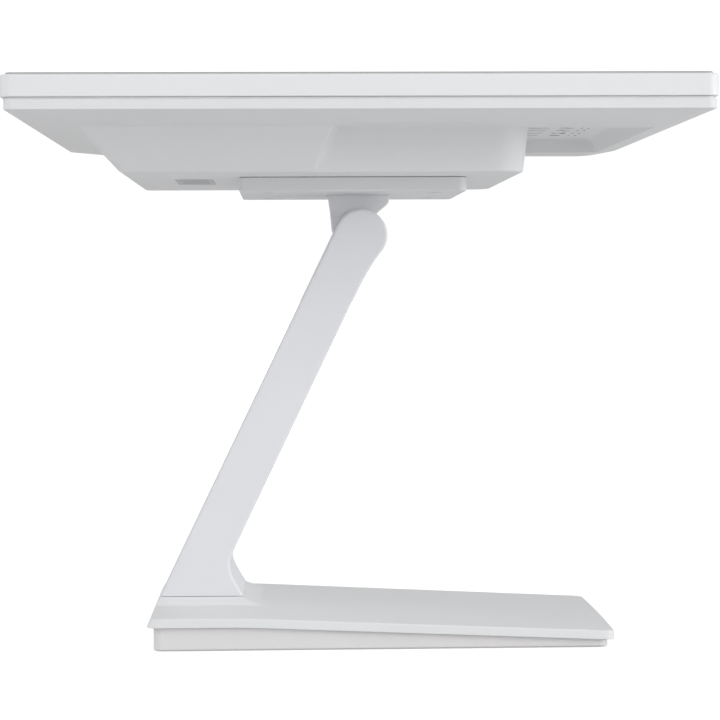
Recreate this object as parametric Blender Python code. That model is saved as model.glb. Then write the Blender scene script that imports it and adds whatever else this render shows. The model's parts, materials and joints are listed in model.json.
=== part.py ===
"""POS touchscreen terminal: a flat display head on a leaning arm and a wedge-shaped base.

World frame: +Z up, the operator's side (front) faces -Y, X runs across the screen.
The origin is on the counter, under the middle of the head, which is also the bottom centre
of the whole object's box. The head lies flat, screen up: its tilt hinge's rest position.
All dimensions below are millimetres, measured along Y from the middle of the base, and are
moved to the origin and scaled to metres when a mesh is made.
"""

import math

import bmesh
import bpy
from mathutils import Matrix, Vector

MM = 0.001
ORIGIN_Y = 11.2                # the world origin, measured from the middle of the base
GAP = 0.3                      # clearance between touching pieces

# Display head
HEAD_HALF_X = 180.0
HEAD_FRONT_Y = -133.3
HEAD_REAR_Y = 156.0
HEAD_CORNER_R = 5.0
BEZEL_TOP_Z = 245.7
BEZEL_BOTTOM_Z = 236.9
BEZEL_WALL = 2.6
BEZEL_LIP = 1.9
LEDGE_INSET = 18.0
LEDGE_TOP_Z = 244.1
LEDGE_BOTTOM_Z = 242.3
GLASS_TOP_Z = 246.5
GLASS_BOTTOM_Z = 244.4
GLASS_INSET = 2.25
LCD_HALF_X = 161.0
LCD_Y = (-112.7, 136.7)
LCD_Z = (237.1, 243.9)

# Rear cover: rim, shallow tray and computer hump
RIM_INSET = 1.1
RIM_TOP_Z = 235.8
RIM_BOTTOM_Z = 231.75
TONGUE_INSET = 3.0
TONGUE_TOP_Z = 238.2
CAVITY_INSET = 4.4
INSIDE_TOP_Z = TONGUE_TOP_Z + 2.0      # the hollows run out past the top of the cover
PLANE_Z = 228.2
PLANE_HALF_X = 150.0
PLANE_FRONT_Y = -116.3
PLANE_REAR_Y = 129.7
WALL = 2.5
HUMP_BOTTOM_Z = 209.1
HUMP_RISE = PLANE_Z - HUMP_BOTTOM_Z
HUMP_BOTTOM_HALF_X = 111.0
HUMP_TOP_HALF_X = 113.5
HUMP_SKIRT_HALF_X = 131.0
HUMP_FRONT_BOTTOM_Y = -60.6
HUMP_FRONT_TOP_Y = -62.7
HUMP_CREASE_BOTTOM_Y = 29.7
HUMP_CREASE_TOP_Y = 20.7
HUMP_REAR_BOTTOM_Y = 111.7
HUMP_REAR_TOP_Y = 130.7
HUMP_CORNER_R = 10.0
BAY_HALF_X = 111.0
BAY_CEILING_Z = 234.5
BAY_FRONT_TOP_Y = -103.0
BAY_FRONT_LOW_Y = -114.3
VENT_HALF_X = 34.0
VENT_Y = (74.5, 91.8)
COVER_SCREWS = ((-118.0, -122.0), (118.0, -122.0), (-118.0, 145.0), (118.0, 145.0))
COVER_BOSS_R = 4.6
COVER_SCREW_HOLE_R = 1.75

# Electronics in the hump
MOUNT_POINTS = [(x, y) for x in (-37.5, 37.5) for y in (-25.5, 49.5)]
BOARD_BOTTOM_Z = 214.5
BOARD_TOP_Z = 216.1
MODULE_Z = 216.5               # the underside of what stands over the board
PORT_FRONT_Y = -61.0
PORT_BASE_Z = BOARD_TOP_Z + GAP

# Mount plate and hinge
PLATE_HALF_X = 61.7
PLATE_Y = (-38.9, 62.2)
PLATE_Z = (202.7, 208.4)
PLATE_CORNER_R = 4.0
FLANGE_HALF_X = 25.0
FLANGE_Y = (-14.0, 30.0)
FLANGE_Z = (205.7, 208.5)
HINGE_Y = 7.15
HINGE_Z = 183.8
SHAFT_R = 4.0
SLEEVE_R = SHAFT_R + GAP       # the bore of everything that sits on the shaft
BUSH_R = 6.5
BORE_R = BUSH_R + GAP
TONGUE_HALF_X = 10.0
SLOT_HALF_X = 10.4
SLOT_R = 13.7

# Arm
ARM_HALF_X = 34.35
ARM_HEAD_R = 11.7
ARM_LEAN = math.radians(25.75)
ARM_THICK = 20.9
ARM_FOOT_Z = 20.3
ARM_EDGE_R = 1.2
CHANNEL_HALF_X = 30.0
CHANNEL_DEPTH = 17.0
CHANNEL_TOP, CHANNEL_END = 22.0, 166.0     # distances down the arm from the hinge
ARM_BOLTS = [(x, y) for x in (-20.0, 20.0) for y in (72.5, 88.0)]

# Base
BASE_REAR_HALF_X = 75.5
BASE_FRONT_HALF_X = 70.5
BASE_HALF_Y = 103.5
BASE_CORNER_R = 5.0
LIP_REAR_Z = 14.7
LIP_FRONT_Z = 8.4
LIP_BREAK_Y = 56.7
LIP_THICK = 4.1
CROWN_REAR = 3.0
CROWN_FRONT = 0.6
CROWN_RUN = 160.0              # length from the front over which the crown grows
COVER_SKIN = 2.6
PEDESTAL_TOP_Z = 19.6
PEDESTAL_FRONT_Y = 61.4
PEDESTAL_SPREAD = 2.07         # how far its chamfer runs out for each millimetre of drop
TRAY_INSET = 3.0
TRAY_REAR_Y = 103.0            # before its inset
TRAY_BOTTOM_Z = 0.5
TRAY_FLOOR_Z = 3.6
BASE_SCREWS = ((-60.0, 84.0), (60.0, 84.0), (-56.0, -86.0), (56.0, -86.0))
FEET = ((-60.0, 64.0), (60.0, 64.0), (-56.0, -66.0), (56.0, -66.0))
FOOT_R = 8.0

# Power button and status light in the bezel's front wall
BUTTON_X = 150.0
BUTTON_Z = 240.0
LED_X = 135.0


for old in list(bpy.data.objects):
    bpy.data.objects.remove(old, do_unlink=True)


# ---------------------------------------------------------------- materials

# look: (base colour, roughness, metallic)
LOOKS = {
    "glass": ((0.020, 0.024, 0.026), 0.06, 0.0),
    "bezel": ((0.79, 0.79, 0.80), 0.45, 0.0),
    "cover": ((0.78, 0.78, 0.78), 0.50, 0.0),
    "plate": ((0.75, 0.75, 0.76), 0.48, 0.0),
    "bracket": ((0.70, 0.70, 0.72), 0.45, 0.0),
    "arm": ((0.80, 0.80, 0.82), 0.42, 0.0),
    "base": ((0.80, 0.80, 0.81), 0.45, 0.0),
    "tray": ((0.79, 0.77, 0.77), 0.52, 0.0),
    "panel": ((0.25, 0.26, 0.27), 0.40, 0.6),
    "sheet": ((0.62, 0.63, 0.64), 0.35, 1.0),
    "steel": ((0.48, 0.48, 0.49), 0.30, 1.0),
    "board": ((0.02, 0.16, 0.07), 0.45, 0.0),
    "heatsink": ((0.55, 0.56, 0.57), 0.32, 1.0),
    "black": ((0.025, 0.025, 0.027), 0.45, 0.0),
    "rubber": ((0.05, 0.05, 0.05), 0.80, 0.0),
    "bronze": ((0.55, 0.38, 0.18), 0.35, 1.0),
    "light": ((0.55, 0.80, 0.62), 0.20, 0.0),
    "ribbon": ((0.70, 0.66, 0.50), 0.40, 0.0),
}


def make_material(name, look):
    colour, roughness, metallic = LOOKS[look]
    material = bpy.data.materials.new(name)
    material.use_nodes = True
    shader = material.node_tree.nodes["Principled BSDF"]
    shader.inputs["Base Color"].default_value = (*colour, 1.0)
    shader.inputs["Roughness"].default_value = roughness
    shader.inputs["Metallic"].default_value = metallic
    material.diffuse_color = (*colour, 1.0)
    return material


# ---------------------------------------------------------------- outlines

def rounded(corners, radius, segments):
    """A closed outline whose corners become arcs of the given radius."""
    outline = []
    for i, corner in enumerate(corners):
        here = Vector(corner)
        to_before = (Vector(corners[i - 1]) - here).normalized()
        to_after = (Vector(corners[(i + 1) % len(corners)]) - here).normalized()
        half = to_before.angle(to_after) / 2.0
        centre = here + (to_before + to_after).normalized() * (radius / math.sin(half))
        start = here + to_before * (radius / math.tan(half)) - centre
        end = here + to_after * (radius / math.tan(half)) - centre
        first = math.atan2(start.y, start.x)
        turn = (math.atan2(end.y, end.x) - first + math.pi) % (2.0 * math.pi) - math.pi
        for k in range(segments + 1):
            angle = first + turn * k / segments
            outline.append((centre.x + radius * math.cos(angle),
                            centre.y + radius * math.sin(angle)))
    return outline


def rect(x0, x1, y0, y1):
    return [(x0, y0), (x1, y0), (x1, y1), (x0, y1)]


def circle(centre_a, centre_b, radius, segments):
    """A regular polygon with its corners on the circle."""
    angles = [2.0 * math.pi * k / segments for k in range(segments)]
    return [(centre_a + radius * math.cos(angle), centre_b + radius * math.sin(angle))
            for angle in angles]


def bezier(start, start_handle, end_handle, end, steps):
    """Points strictly between the two ends of a cubic curve."""
    points = []
    for k in range(1, steps):
        t = k / steps
        s = 1.0 - t
        points.append(tuple(
            s ** 3 * a + 3 * s * s * t * b + 3 * s * t * t * c + t ** 3 * d
            for a, b, c, d in zip(start, start_handle, end_handle, end)
        ))
    return points


def place(axis, outline, at):
    """A flat outline set across an axis: X takes (y, z), Y takes (x, z), Z takes (x, y)."""
    if axis == "X":
        return [(at, a, b) for a, b in outline]
    if axis == "Y":
        return [(a, at, b) for a, b in outline]
    return [(a, b, at) for a, b in outline]


# ---------------------------------------------------------------- solids: (vertices, faces)

def loft(rings, joined=False):
    """A closed solid through rings of equal length.

    It has flat ends, or is a closed frame when the last ring is joined to the first.
    """
    n, count = len(rings[0]), len(rings)
    verts = [point for ring in rings for point in ring]
    faces = []
    for i in range(count if joined else count - 1):
        low, high = i * n, (i + 1) % count * n
        faces += [(low + j, low + (j + 1) % n, high + (j + 1) % n, high + j) for j in range(n)]
    if not joined:
        faces.append(tuple(reversed(range(n))))
        faces.append(tuple((count - 1) * n + j for j in range(n)))
    return verts, faces


def prism(axis, outline, low, high):
    return loft([place(axis, outline, low), place(axis, outline, high)])


def block(x0, x1, y0, y1, z0, z1):
    return prism("Z", rect(x0, x1, y0, y1), z0, z1)


def turned(axis, centre_a, centre_b, profile, segments, joined=False):
    """A solid of revolution from (radius, position) pairs along the axis."""
    return loft([place(axis, circle(centre_a, centre_b, radius, segments), at)
                 for radius, at in profile], joined)


def rod(axis, centre_a, centre_b, radius, low, high, segments):
    return turned(axis, centre_a, centre_b, ((radius, low), (radius, high)), segments)


def together(*solids):
    verts, faces = [], []
    for solid_verts, solid_faces in solids:
        start = len(verts)
        verts += solid_verts
        faces += [tuple(start + i for i in face) for face in solid_faces]
    return verts, faces


def blocks(*limits):
    """Blocks from (x0, x1, y0, y1, z0, z1) entries."""
    return together(*(block(*entry) for entry in limits))


def turned_at(points, profile, segments):
    """The same upright turned solid at each (x, y)."""
    return together(*(turned("Z", x, y, profile, segments) for x, y in points))


def rods_at(points, radius, low, high, segments):
    return turned_at(points, ((radius, low), (radius, high)), segments)


# ---------------------------------------------------------------- objects

def to_metres(x, y, z):
    return (x * MM, (y - ORIGIN_Y) * MM, z * MM)


def hang(obj, parent):
    """Parent an object without moving it."""
    obj.parent = parent
    obj.matrix_parent_inverse = Matrix.Translation(-parent.location)


def mesh_object(name, solid):
    """A mesh in metres, with its faces turned outwards."""
    verts, faces = solid
    mesh = bpy.data.meshes.new(name)
    mesh.from_pydata([to_metres(*vert) for vert in verts], [], faces)
    bm = bmesh.new()
    bm.from_mesh(mesh)
    bmesh.ops.remove_doubles(bm, verts=bm.verts, dist=1e-6)
    bmesh.ops.dissolve_degenerate(bm, edges=bm.edges, dist=1e-7)
    bmesh.ops.recalc_face_normals(bm, faces=bm.faces)
    bm.to_mesh(mesh)
    bm.free()
    obj = bpy.data.objects.new(name, mesh)
    bpy.context.scene.collection.objects.link(obj)
    return obj


def axis_empty(name, x, y, z, parent=None):
    empty = bpy.data.objects.new(name, None)
    empty.empty_display_size = 0.02
    empty.location = to_metres(x, y, z)
    bpy.context.scene.collection.objects.link(empty)
    if parent is not None:
        hang(empty, parent)
    return empty


STAND = axis_empty("stand_origin", 0.0, ORIGIN_Y, 0.0)
HEAD = axis_empty("display_tilt_axis", 0.0, HINGE_Y, HINGE_Z, STAND)
BUTTON = axis_empty("power_button_axis", BUTTON_X, HEAD_FRONT_Y, BUTTON_Z, HEAD)

OPERATIONS = {"cut": "DIFFERENCE", "add": "UNION", "keep": "INTERSECT"}


def piece(name, solid, look, parent, steps=(), sharp_angle=32.0):
    """One node: a solid, then Boolean steps ("cut", "add" or "keep") in order."""
    obj = mesh_object(name, solid)
    for number, (kind, tool) in enumerate(steps, 1):
        helper = mesh_object(f"{name}_tool_{number}", tool)
        helper.hide_render = True
        helper.display_type = "WIRE"
        modifier = obj.modifiers.new(f"{kind}_{number}", "BOOLEAN")
        modifier.operation = OPERATIONS[kind]
        modifier.solver = "EXACT"
        modifier.object = helper
    obj.data.materials.append(make_material(f"{name}_{look}", look))
    obj.data.shade_smooth()
    obj.data.set_sharp_from_angle(angle=math.radians(sharp_angle))
    hang(obj, parent)


def screws(name, points, profile, socket, parent, segments=12):
    """Numbered upright screws; socket is the hexagonal recess's (radius, low z, high z)."""
    for number, (x, y) in enumerate(points, 1):
        piece(f"{name}_{number}", turned("Z", x, y, profile, segments), "steel", parent,
              [("cut", rod("Z", x, y, *socket, 6))])


# ---------------------------------------------------------------- glass, panel and bezel

def head_ring(inset, z):
    """The head's rounded outline, moved inwards."""
    corners = rect(-HEAD_HALF_X + inset, HEAD_HALF_X - inset,
                   HEAD_FRONT_Y + inset, HEAD_REAR_Y - inset)
    return place("Z", rounded(corners, max(HEAD_CORNER_R - inset, 0.5), 5), z)


def pill(half_x, half_z):
    """The power button's round-ended outline, in x and z."""
    corners = rect(BUTTON_X - half_x, BUTTON_X + half_x, BUTTON_Z - half_z, BUTTON_Z + half_z)
    return rounded(corners, half_z - 0.01, 5)


def make_touch_glass():
    piece("touch_glass", loft([
        head_ring(GLASS_INSET + 0.2, GLASS_BOTTOM_Z),
        head_ring(GLASS_INSET, GLASS_BOTTOM_Z + 0.2),
        head_ring(GLASS_INSET, GLASS_TOP_Z - 0.3),
        head_ring(GLASS_INSET + 0.3, GLASS_TOP_Z),
    ]), "glass", HEAD)


def make_lcd_panel():
    outline = rounded(rect(-LCD_HALF_X, LCD_HALF_X, *LCD_Y), 1.5, 3)
    piece("lcd_panel", prism("Z", outline, *LCD_Z), "panel", HEAD)


def make_front_bezel():
    # (inset, z) round the frame's section
    profile = (
        (0.4, BEZEL_BOTTOM_Z), (0.0, BEZEL_BOTTOM_Z + 0.4), (0.0, BEZEL_TOP_Z - 0.9),
        (0.27, BEZEL_TOP_Z - 0.27), (0.9, BEZEL_TOP_Z), (BEZEL_LIP, BEZEL_TOP_Z),
        (BEZEL_LIP, LEDGE_TOP_Z), (LEDGE_INSET, LEDGE_TOP_Z), (LEDGE_INSET, LEDGE_BOTTOM_Z),
        (BEZEL_WALL, LEDGE_BOTTOM_Z), (BEZEL_WALL, BEZEL_BOTTOM_Z),
    )
    # (radius, z): the screw's hole, then the wider seat for its head
    screw_hole = ((COVER_SCREW_HOLE_R, 235.0), (COVER_SCREW_HOLE_R, 241.6),
                  (3.4, 241.6), (3.4, 246.0))
    wall_cut = (HEAD_FRONT_Y - 2.0, HEAD_FRONT_Y + 5.0)
    bosses = rods_at(COVER_SCREWS, COVER_BOSS_R, 236.4, LEDGE_BOTTOM_Z + 0.9, 12)
    holes = together(
        turned_at(COVER_SCREWS, screw_hole, 12),
        prism("Y", pill(7.5, 2.0), *wall_cut),
        rod("Y", LED_X, BUTTON_Z, 1.55, *wall_cut, 14),
    )
    frame = loft([head_ring(inset, z) for inset, z in profile], joined=True)
    piece("front_bezel", frame, "bezel", HEAD, [("add", bosses), ("cut", holes)])


# ---------------------------------------------------------------- rear cover

def plane_ring(grow, z, radius=6.0):
    """The outline of the cover's flat underside, moved outwards."""
    corners = rect(-PLANE_HALF_X - grow, PLANE_HALF_X + grow,
                   PLANE_FRONT_Y - grow, PLANE_REAR_Y + grow)
    return place("Z", rounded(corners, radius, 5), z)


def cover_outside():
    return loft([
        plane_ring(0.0, PLANE_Z),
        plane_ring(3.0, PLANE_Z + 0.12, 7.0),
        head_ring(RIM_INSET + 0.4, RIM_BOTTOM_Z),
        head_ring(RIM_INSET, RIM_BOTTOM_Z + 0.4),
        head_ring(RIM_INSET, RIM_TOP_Z),
        head_ring(TONGUE_INSET, RIM_TOP_Z),
        head_ring(TONGUE_INSET, TONGUE_TOP_Z),
    ])


def cover_inside():
    return loft([
        plane_ring(-1.0, PLANE_Z + WALL),
        head_ring(CAVITY_INSET, RIM_BOTTOM_Z + WALL),
        head_ring(CAVITY_INSET, INSIDE_TOP_Z),
    ])


def hump_ring(z, out, skirt, grow=0.0):
    """The hump's outline at height z, moved outwards by grow.

    out and skirt run from 0 at the bottom to 1 at the plane: out is how far the front part
    has opened, skirt how far the wider rear part has spread.
    """
    half = HUMP_BOTTOM_HALF_X + (HUMP_TOP_HALF_X - HUMP_BOTTOM_HALF_X) * out + grow
    front = HUMP_FRONT_BOTTOM_Y + (HUMP_FRONT_TOP_Y - HUMP_FRONT_BOTTOM_Y) * out - grow
    crease = (HUMP_CREASE_BOTTOM_Y + (HUMP_CREASE_TOP_Y - HUMP_CREASE_BOTTOM_Y) * skirt
              - grow * 0.4)
    wide = HUMP_BOTTOM_HALF_X + (HUMP_SKIRT_HALF_X - HUMP_BOTTOM_HALF_X) * skirt + grow
    wide = max(wide, half + 0.02)      # keeps the points at the crease apart
    rear = HUMP_REAR_BOTTOM_Y + (HUMP_REAR_TOP_Y - HUMP_REAR_BOTTOM_Y) * skirt + grow
    # Only the two front arcs (9 points each) and the two rear arcs (4 each) are used.
    front_part = rounded(rect(-half, half, front, front + 60.0), HUMP_CORNER_R + grow, 8)
    rear_part = rounded(rect(-wide, wide, crease, rear), 3.0, 3)
    outline = (front_part[:18] + [(half, crease), (wide, crease)]
               + rear_part[8:] + [(-wide, crease), (-half, crease)])
    return place("Z", outline, z)


def hump_outside():
    edge = 1.0                         # height of the eased bottom edge
    part = 0.3 * edge
    return loft([
        hump_ring(HUMP_BOTTOM_Z, 0.0, 0.0, -edge),
        hump_ring(HUMP_BOTTOM_Z + part, 0.0, part / HUMP_RISE, -part),
        hump_ring(HUMP_BOTTOM_Z + edge, edge / HUMP_RISE, edge / HUMP_RISE),
        hump_ring(PLANE_Z, 1.0, 1.0),
        hump_ring(PLANE_Z + 1.6, 1.0, 1.0),
    ])


def hump_inside():
    """The hollow of the hump, one wall thickness inside it."""
    floor_z = HUMP_BOTTOM_Z + WALL
    risen = (floor_z - HUMP_BOTTOM_Z) / HUMP_RISE
    return loft([
        hump_ring(floor_z, risen, risen, -WALL),
        hump_ring(PLANE_Z, 1.0, 1.0, -WALL),
        hump_ring(INSIDE_TOP_Z, 1.0, 1.0, -WALL),
    ])


def bay_ring(z):
    """The cable bay's outline: its rear follows the hump's front wall, its front side leans."""
    lean = (BAY_FRONT_TOP_Y - BAY_FRONT_LOW_Y) / (BAY_CEILING_Z - PLANE_Z)
    front = BAY_FRONT_TOP_Y - lean * (BAY_CEILING_Z - z)
    centre_x = HUMP_TOP_HALF_X - HUMP_CORNER_R
    centre_y = HUMP_FRONT_TOP_Y + HUMP_CORNER_R
    last = math.acos((BAY_HALF_X - centre_x) / HUMP_CORNER_R)
    angles = [-math.pi / 2 + (math.pi / 2 - last) * k / 5.0 for k in range(6)]
    arc = [(centre_x + HUMP_CORNER_R * math.cos(angle), centre_y + HUMP_CORNER_R * math.sin(angle))
           for angle in angles]
    outline = [(-BAY_HALF_X, front), (BAY_HALF_X, front)] + arc[::-1] + [(-x, y) for x, y in arc]
    return place("Z", outline, z)


def bay_shell():
    """The box round the cable bay."""
    wall = 2.1
    return block(-BAY_HALF_X - wall, BAY_HALF_X + wall,
                 BAY_FRONT_LOW_Y - 1.4, HUMP_FRONT_TOP_Y + WALL,
                 PLANE_Z + 1.2, BAY_CEILING_Z + wall)


def bay_ends():
    """Blocks that close the bay's rear corners against the hump's rounded ones."""
    wall = 2.05
    return together(*(
        block(*sorted((side * (BAY_HALF_X + wall), side * (BAY_HALF_X - 6.5))),
              HUMP_FRONT_TOP_Y - 4.0, HUMP_FRONT_TOP_Y + 8.5,
              PLANE_Z + 1.25, BAY_CEILING_Z + wall)
        for side in (-1, 1)
    ))


# name: (centre x, width, height)
PORTS = {
    "dc_jack": (-90.0, 10.0, 11.0),
    "cash_drawer_port": (-70.0, 13.4, 13.0),
    "serial_port": (-40.0, 31.0, 12.6),
    "hdmi_port": (-9.0, 15.2, 6.2),
    "usb_stack_1": (12.0, 13.6, 15.6),
    "usb_stack_2": (33.0, 13.6, 15.6),
    "lan_port": (56.0, 16.0, 13.6),
    "audio_jack": (75.0, 7.0, 7.0),
}


def port_windows():
    return blocks(*(
        (x - width / 2 - GAP, x + width / 2 + GAP, PORT_FRONT_Y - 4.0, -55.0,
         PORT_BASE_Z - GAP, PORT_BASE_Z + height + GAP)
        for x, width, height in PORTS.values()
    ))


def vent_slots():
    pitch, half_slot, margin = 5.0, 1.2, 2.0
    return blocks(*(
        (pitch * k - half_slot, pitch * k + half_slot,
         VENT_Y[0] + margin, VENT_Y[1] - margin, 206.0, 213.0)
        for k in range(-6, 7)
    ))


def make_rear_cover():
    bay_hollow = loft([bay_ring(PLANE_Z - 2.2), bay_ring(BAY_CEILING_Z)])
    bosses = rods_at(COVER_SCREWS, COVER_BOSS_R, 231.4, 236.0, 12)
    holes = together(
        rods_at(COVER_SCREWS, COVER_SCREW_HOLE_R, 233.4, 238.0, 12),
        rods_at(MOUNT_POINTS, 2.4, 206.0, 214.0, 12),
    )
    vent_recess = block(-VENT_HALF_X, VENT_HALF_X, *VENT_Y, 207.0, HUMP_BOTTOM_Z + 0.5)
    piece("rear_cover", cover_outside(), "cover", HEAD, [
        ("add", hump_outside()),
        ("cut", cover_inside()),
        ("cut", hump_inside()),
        ("add", bay_shell()),
        ("add", bay_ends()),
        ("cut", bay_hollow),
        ("add", bosses),
        ("cut", holes),
        ("cut", port_windows()),
        ("cut", vent_recess),
        ("cut", vent_slots()),
    ])


def make_cover_screws():
    profile = ((1.4, 233.8), (1.4, 241.9), (3.0, 241.9), (3.0, 243.3), (2.6, 243.7))
    screws("cover_screw", COVER_SCREWS, profile, (1.1, 242.8, 245.0), HEAD)


# ---------------------------------------------------------------- electronics

def make_chassis_plate():
    """A sheet over the board with four hollow posts down to the hump's floor."""
    posts = rods_at(MOUNT_POINTS, 4.0, 211.9, 235.4, 14)
    post_holes = rods_at(MOUNT_POINTS, 2.3, 210.0, 226.0, 12)
    piece("chassis_plate", block(-98.0, 98.0, -50.0, 84.0, 234.8, 236.0), "sheet", HEAD,
          [("add", posts), ("cut", post_holes)])


def make_mainboard():
    chip_z = BOARD_TOP_Z - 0.4         # sunk into the board so that they join
    chips = together(
        block(48.0, 62.0, 58.0, 72.0, chip_z, BOARD_TOP_Z + 1.4),
        block(-30.0, -10.0, 58.0, 70.0, chip_z, BOARD_TOP_Z + 1.2),
        rod("Z", 20.0, 64.0, 6.0, chip_z, BOARD_TOP_Z + 3.0, 16),
    )
    post_holes = rods_at(MOUNT_POINTS, 5.0, 213.0, 218.0, 14)
    piece("mainboard", block(-95.0, 95.0, -56.5, 78.0, BOARD_BOTTOM_Z, BOARD_TOP_Z), "board",
          HEAD, [("cut", post_holes), ("add", chips)])


def make_cpu_heatsink():
    half, top, root = 27.0, 232.5, 219.5
    pitch, fin = 7.43, 2.0
    outline = [(-half, MODULE_Z), (half, MODULE_Z), (half, top)]
    for k in range(7):
        right = half - pitch * k
        outline += [(right - fin, top), (right - fin, root),
                    (right - pitch, root), (right - pitch, top)]
    outline.append((-half, top))
    piece("cpu_heatsink", prism("Y", outline, -16.0, 40.0), "heatsink", HEAD)


def make_small_boards():
    """The memory, storage and touch boards, each with the chips on it."""
    memory_chips = blocks(*((54.0, 66.0, y, y + 9.0, 217.4, 219.0)
                            for y in (-18.0, -4.0, 10.0, 24.0)))
    storage_chips = blocks((-77.0, -61.0, -14.0, 6.0, 217.0, 219.0),
                           (-77.0, -61.0, 12.0, 30.0, 217.0, 219.0))
    touch_chip = block(129.0, 139.0, -4.0, 6.0, 232.4, 234.2)
    # name, board, chips
    boards = (
        ("ram_module", block(50.0, 80.0, -22.0, 45.6, MODULE_Z, 217.7), memory_chips),
        ("ssd_module", block(-80.0, -58.0, -26.0, 54.0, MODULE_Z, 217.4), storage_chips),
        ("touch_controller_board", block(124.0, 146.0, -30.0, 40.0, 231.6, 232.8), touch_chip),
    )
    for name, board, chips in boards:
        piece(name, board, "board", HEAD, [("add", chips)])


def make_speakers():
    for side, middle in (("left", -140.0), ("right", 140.0)):
        body = rounded(rect(middle - 9.0, middle + 9.0, 60.0, 100.0), 8.9, 6)
        recess = rounded(rect(middle - 6.5, middle + 6.5, 63.0, 97.0), 6.4, 6)
        piece(f"speaker_{side}", prism("Z", body, 231.3, 236.4), "black", HEAD,
              [("cut", prism("Z", recess, 230.0, 232.3))])


def make_display_ribbon():
    # (y, z) round the bent strip, from its end on the board up to its end by the panel
    outline = [
        (74.0, 216.5), (86.6, 216.5), (90.6, 236.2), (104.0, 236.2),
        (104.0, 236.7), (90.2, 236.7), (86.2, 217.0), (74.0, 217.0),
    ]
    piece("display_ribbon", prism("X", outline, 66.0, 88.0), "ribbon", HEAD)


# Mouths and contact tongues: (x0, x1, z0, z1) from the port's middle and its underside
USB_MOUTHS = [(-6.0, 6.0, 1.0, 6.6), (-6.0, 6.0, 9.0, 14.6)]
USB_TONGUES = [(-5.2, 5.2, 4.2, 5.8), (-5.2, 5.2, 12.2, 13.8)]
# name: (look, mouths, tongues)
SQUARE_PORTS = {
    "cash_drawer_port": (
        "black", [(-4.8, 4.8, 2.0, 9.0), (-2.2, 2.2, 8.0, 10.6)], [(-3.6, 3.6, 2.9, 3.9)]),
    "serial_port": ("sheet", [(-8.3, 8.3, 2.4, 10.2)], [(-7.0, 7.0, 4.0, 8.6)]),
    "hdmi_port": ("sheet", [(-6.6, 6.6, 1.0, 5.2)], [(-4.8, 4.8, 2.5, 3.7)]),
    "usb_stack_1": ("sheet", USB_MOUTHS, USB_TONGUES),
    "usb_stack_2": ("sheet", USB_MOUTHS, USB_TONGUES),
    "lan_port": (
        "sheet", [(-5.9, 5.9, 2.0, 9.6), (-2.8, 2.8, 8.6, 11.8)], [(-4.6, 4.6, 2.9, 3.9)]),
}
MOUTH_Y = (PORT_FRONT_Y - 1.0, PORT_FRONT_Y + 9.0)


def port_body(name, depth):
    x, width, height = PORTS[name]
    return block(x - width / 2, x + width / 2, PORT_FRONT_Y, PORT_FRONT_Y + depth,
                 PORT_BASE_Z, PORT_BASE_Z + height)


def make_square_port(name):
    """A block on the board's front edge with open mouths and contact tongues."""
    look, mouths, tongues = SQUARE_PORTS[name]
    tongue_y = (PORT_FRONT_Y + 2.0, PORT_FRONT_Y + 10.0)
    x = PORTS[name][0]
    steps = [
        (kind, block(x + x0, x + x1, *span_y, PORT_BASE_Z + z0, PORT_BASE_Z + z1))
        for kind, span_y, entries in (("cut", MOUTH_Y, mouths), ("add", tongue_y, tongues))
        for x0, x1, z0, z1 in entries
    ]
    piece(name, port_body(name, 15.0), look, HEAD, steps)


def make_round_ports():
    x, z = PORTS["dc_jack"][0], PORT_BASE_Z + 6.0
    piece("dc_jack", port_body("dc_jack", 14.0), "black", HEAD, [
        ("cut", rod("Y", x, z, 3.0, *MOUTH_Y, 16)),
        ("add", rod("Y", x, z, 1.0, PORT_FRONT_Y + 1.0, PORT_FRONT_Y + 10.0, 10)),
    ])
    x, z = PORTS["audio_jack"][0], PORT_BASE_Z + 3.6
    piece("audio_jack", port_body("audio_jack", 14.0), "black", HEAD,
          [("cut", rod("Y", x, z, 1.8, *MOUTH_Y, 16))])


def make_button_board():
    """A small board behind the power button and the status light, with a part for each."""
    front = -122.9
    piece("button_board", block(130.5, 160.0, front, -114.0, 238.8, 240.0), "board", HEAD, [
        ("add", block(146.0, 154.0, front, -117.0, 239.6, 241.9)),
        ("add", block(132.5, 137.5, front, -118.0, 239.6, 241.4)),
    ])


def make_status_led_lens():
    lens = rod("Y", LED_X, BUTTON_Z, 1.2, HEAD_FRONT_Y - 0.1, HEAD_FRONT_Y + 5.0, 14)
    piece("status_led_lens", lens, "light", HEAD)


def make_power_button():
    body = pill(7.15, 1.65)
    cap = loft([
        place("Y", pill(6.9, 1.4), HEAD_FRONT_Y - 0.3),
        place("Y", body, HEAD_FRONT_Y - 0.05),
        place("Y", body, HEAD_FRONT_Y + 2.4),
    ])
    stem = block(BUTTON_X - 2.5, BUTTON_X + 2.5, HEAD_FRONT_Y + 1.6, HEAD_FRONT_Y + 9.0,
                 BUTTON_Z - 1.2, BUTTON_Z + 1.2)
    piece("power_button", cap, "bezel", BUTTON, [("add", stem)])


# ---------------------------------------------------------------- mount plate and hinge

def plate_ring(inset, z):
    corners = rect(-PLATE_HALF_X + inset, PLATE_HALF_X - inset,
                   PLATE_Y[0] + inset, PLATE_Y[1] - inset)
    return place("Z", rounded(corners, PLATE_CORNER_R - inset, 4), z)


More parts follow.
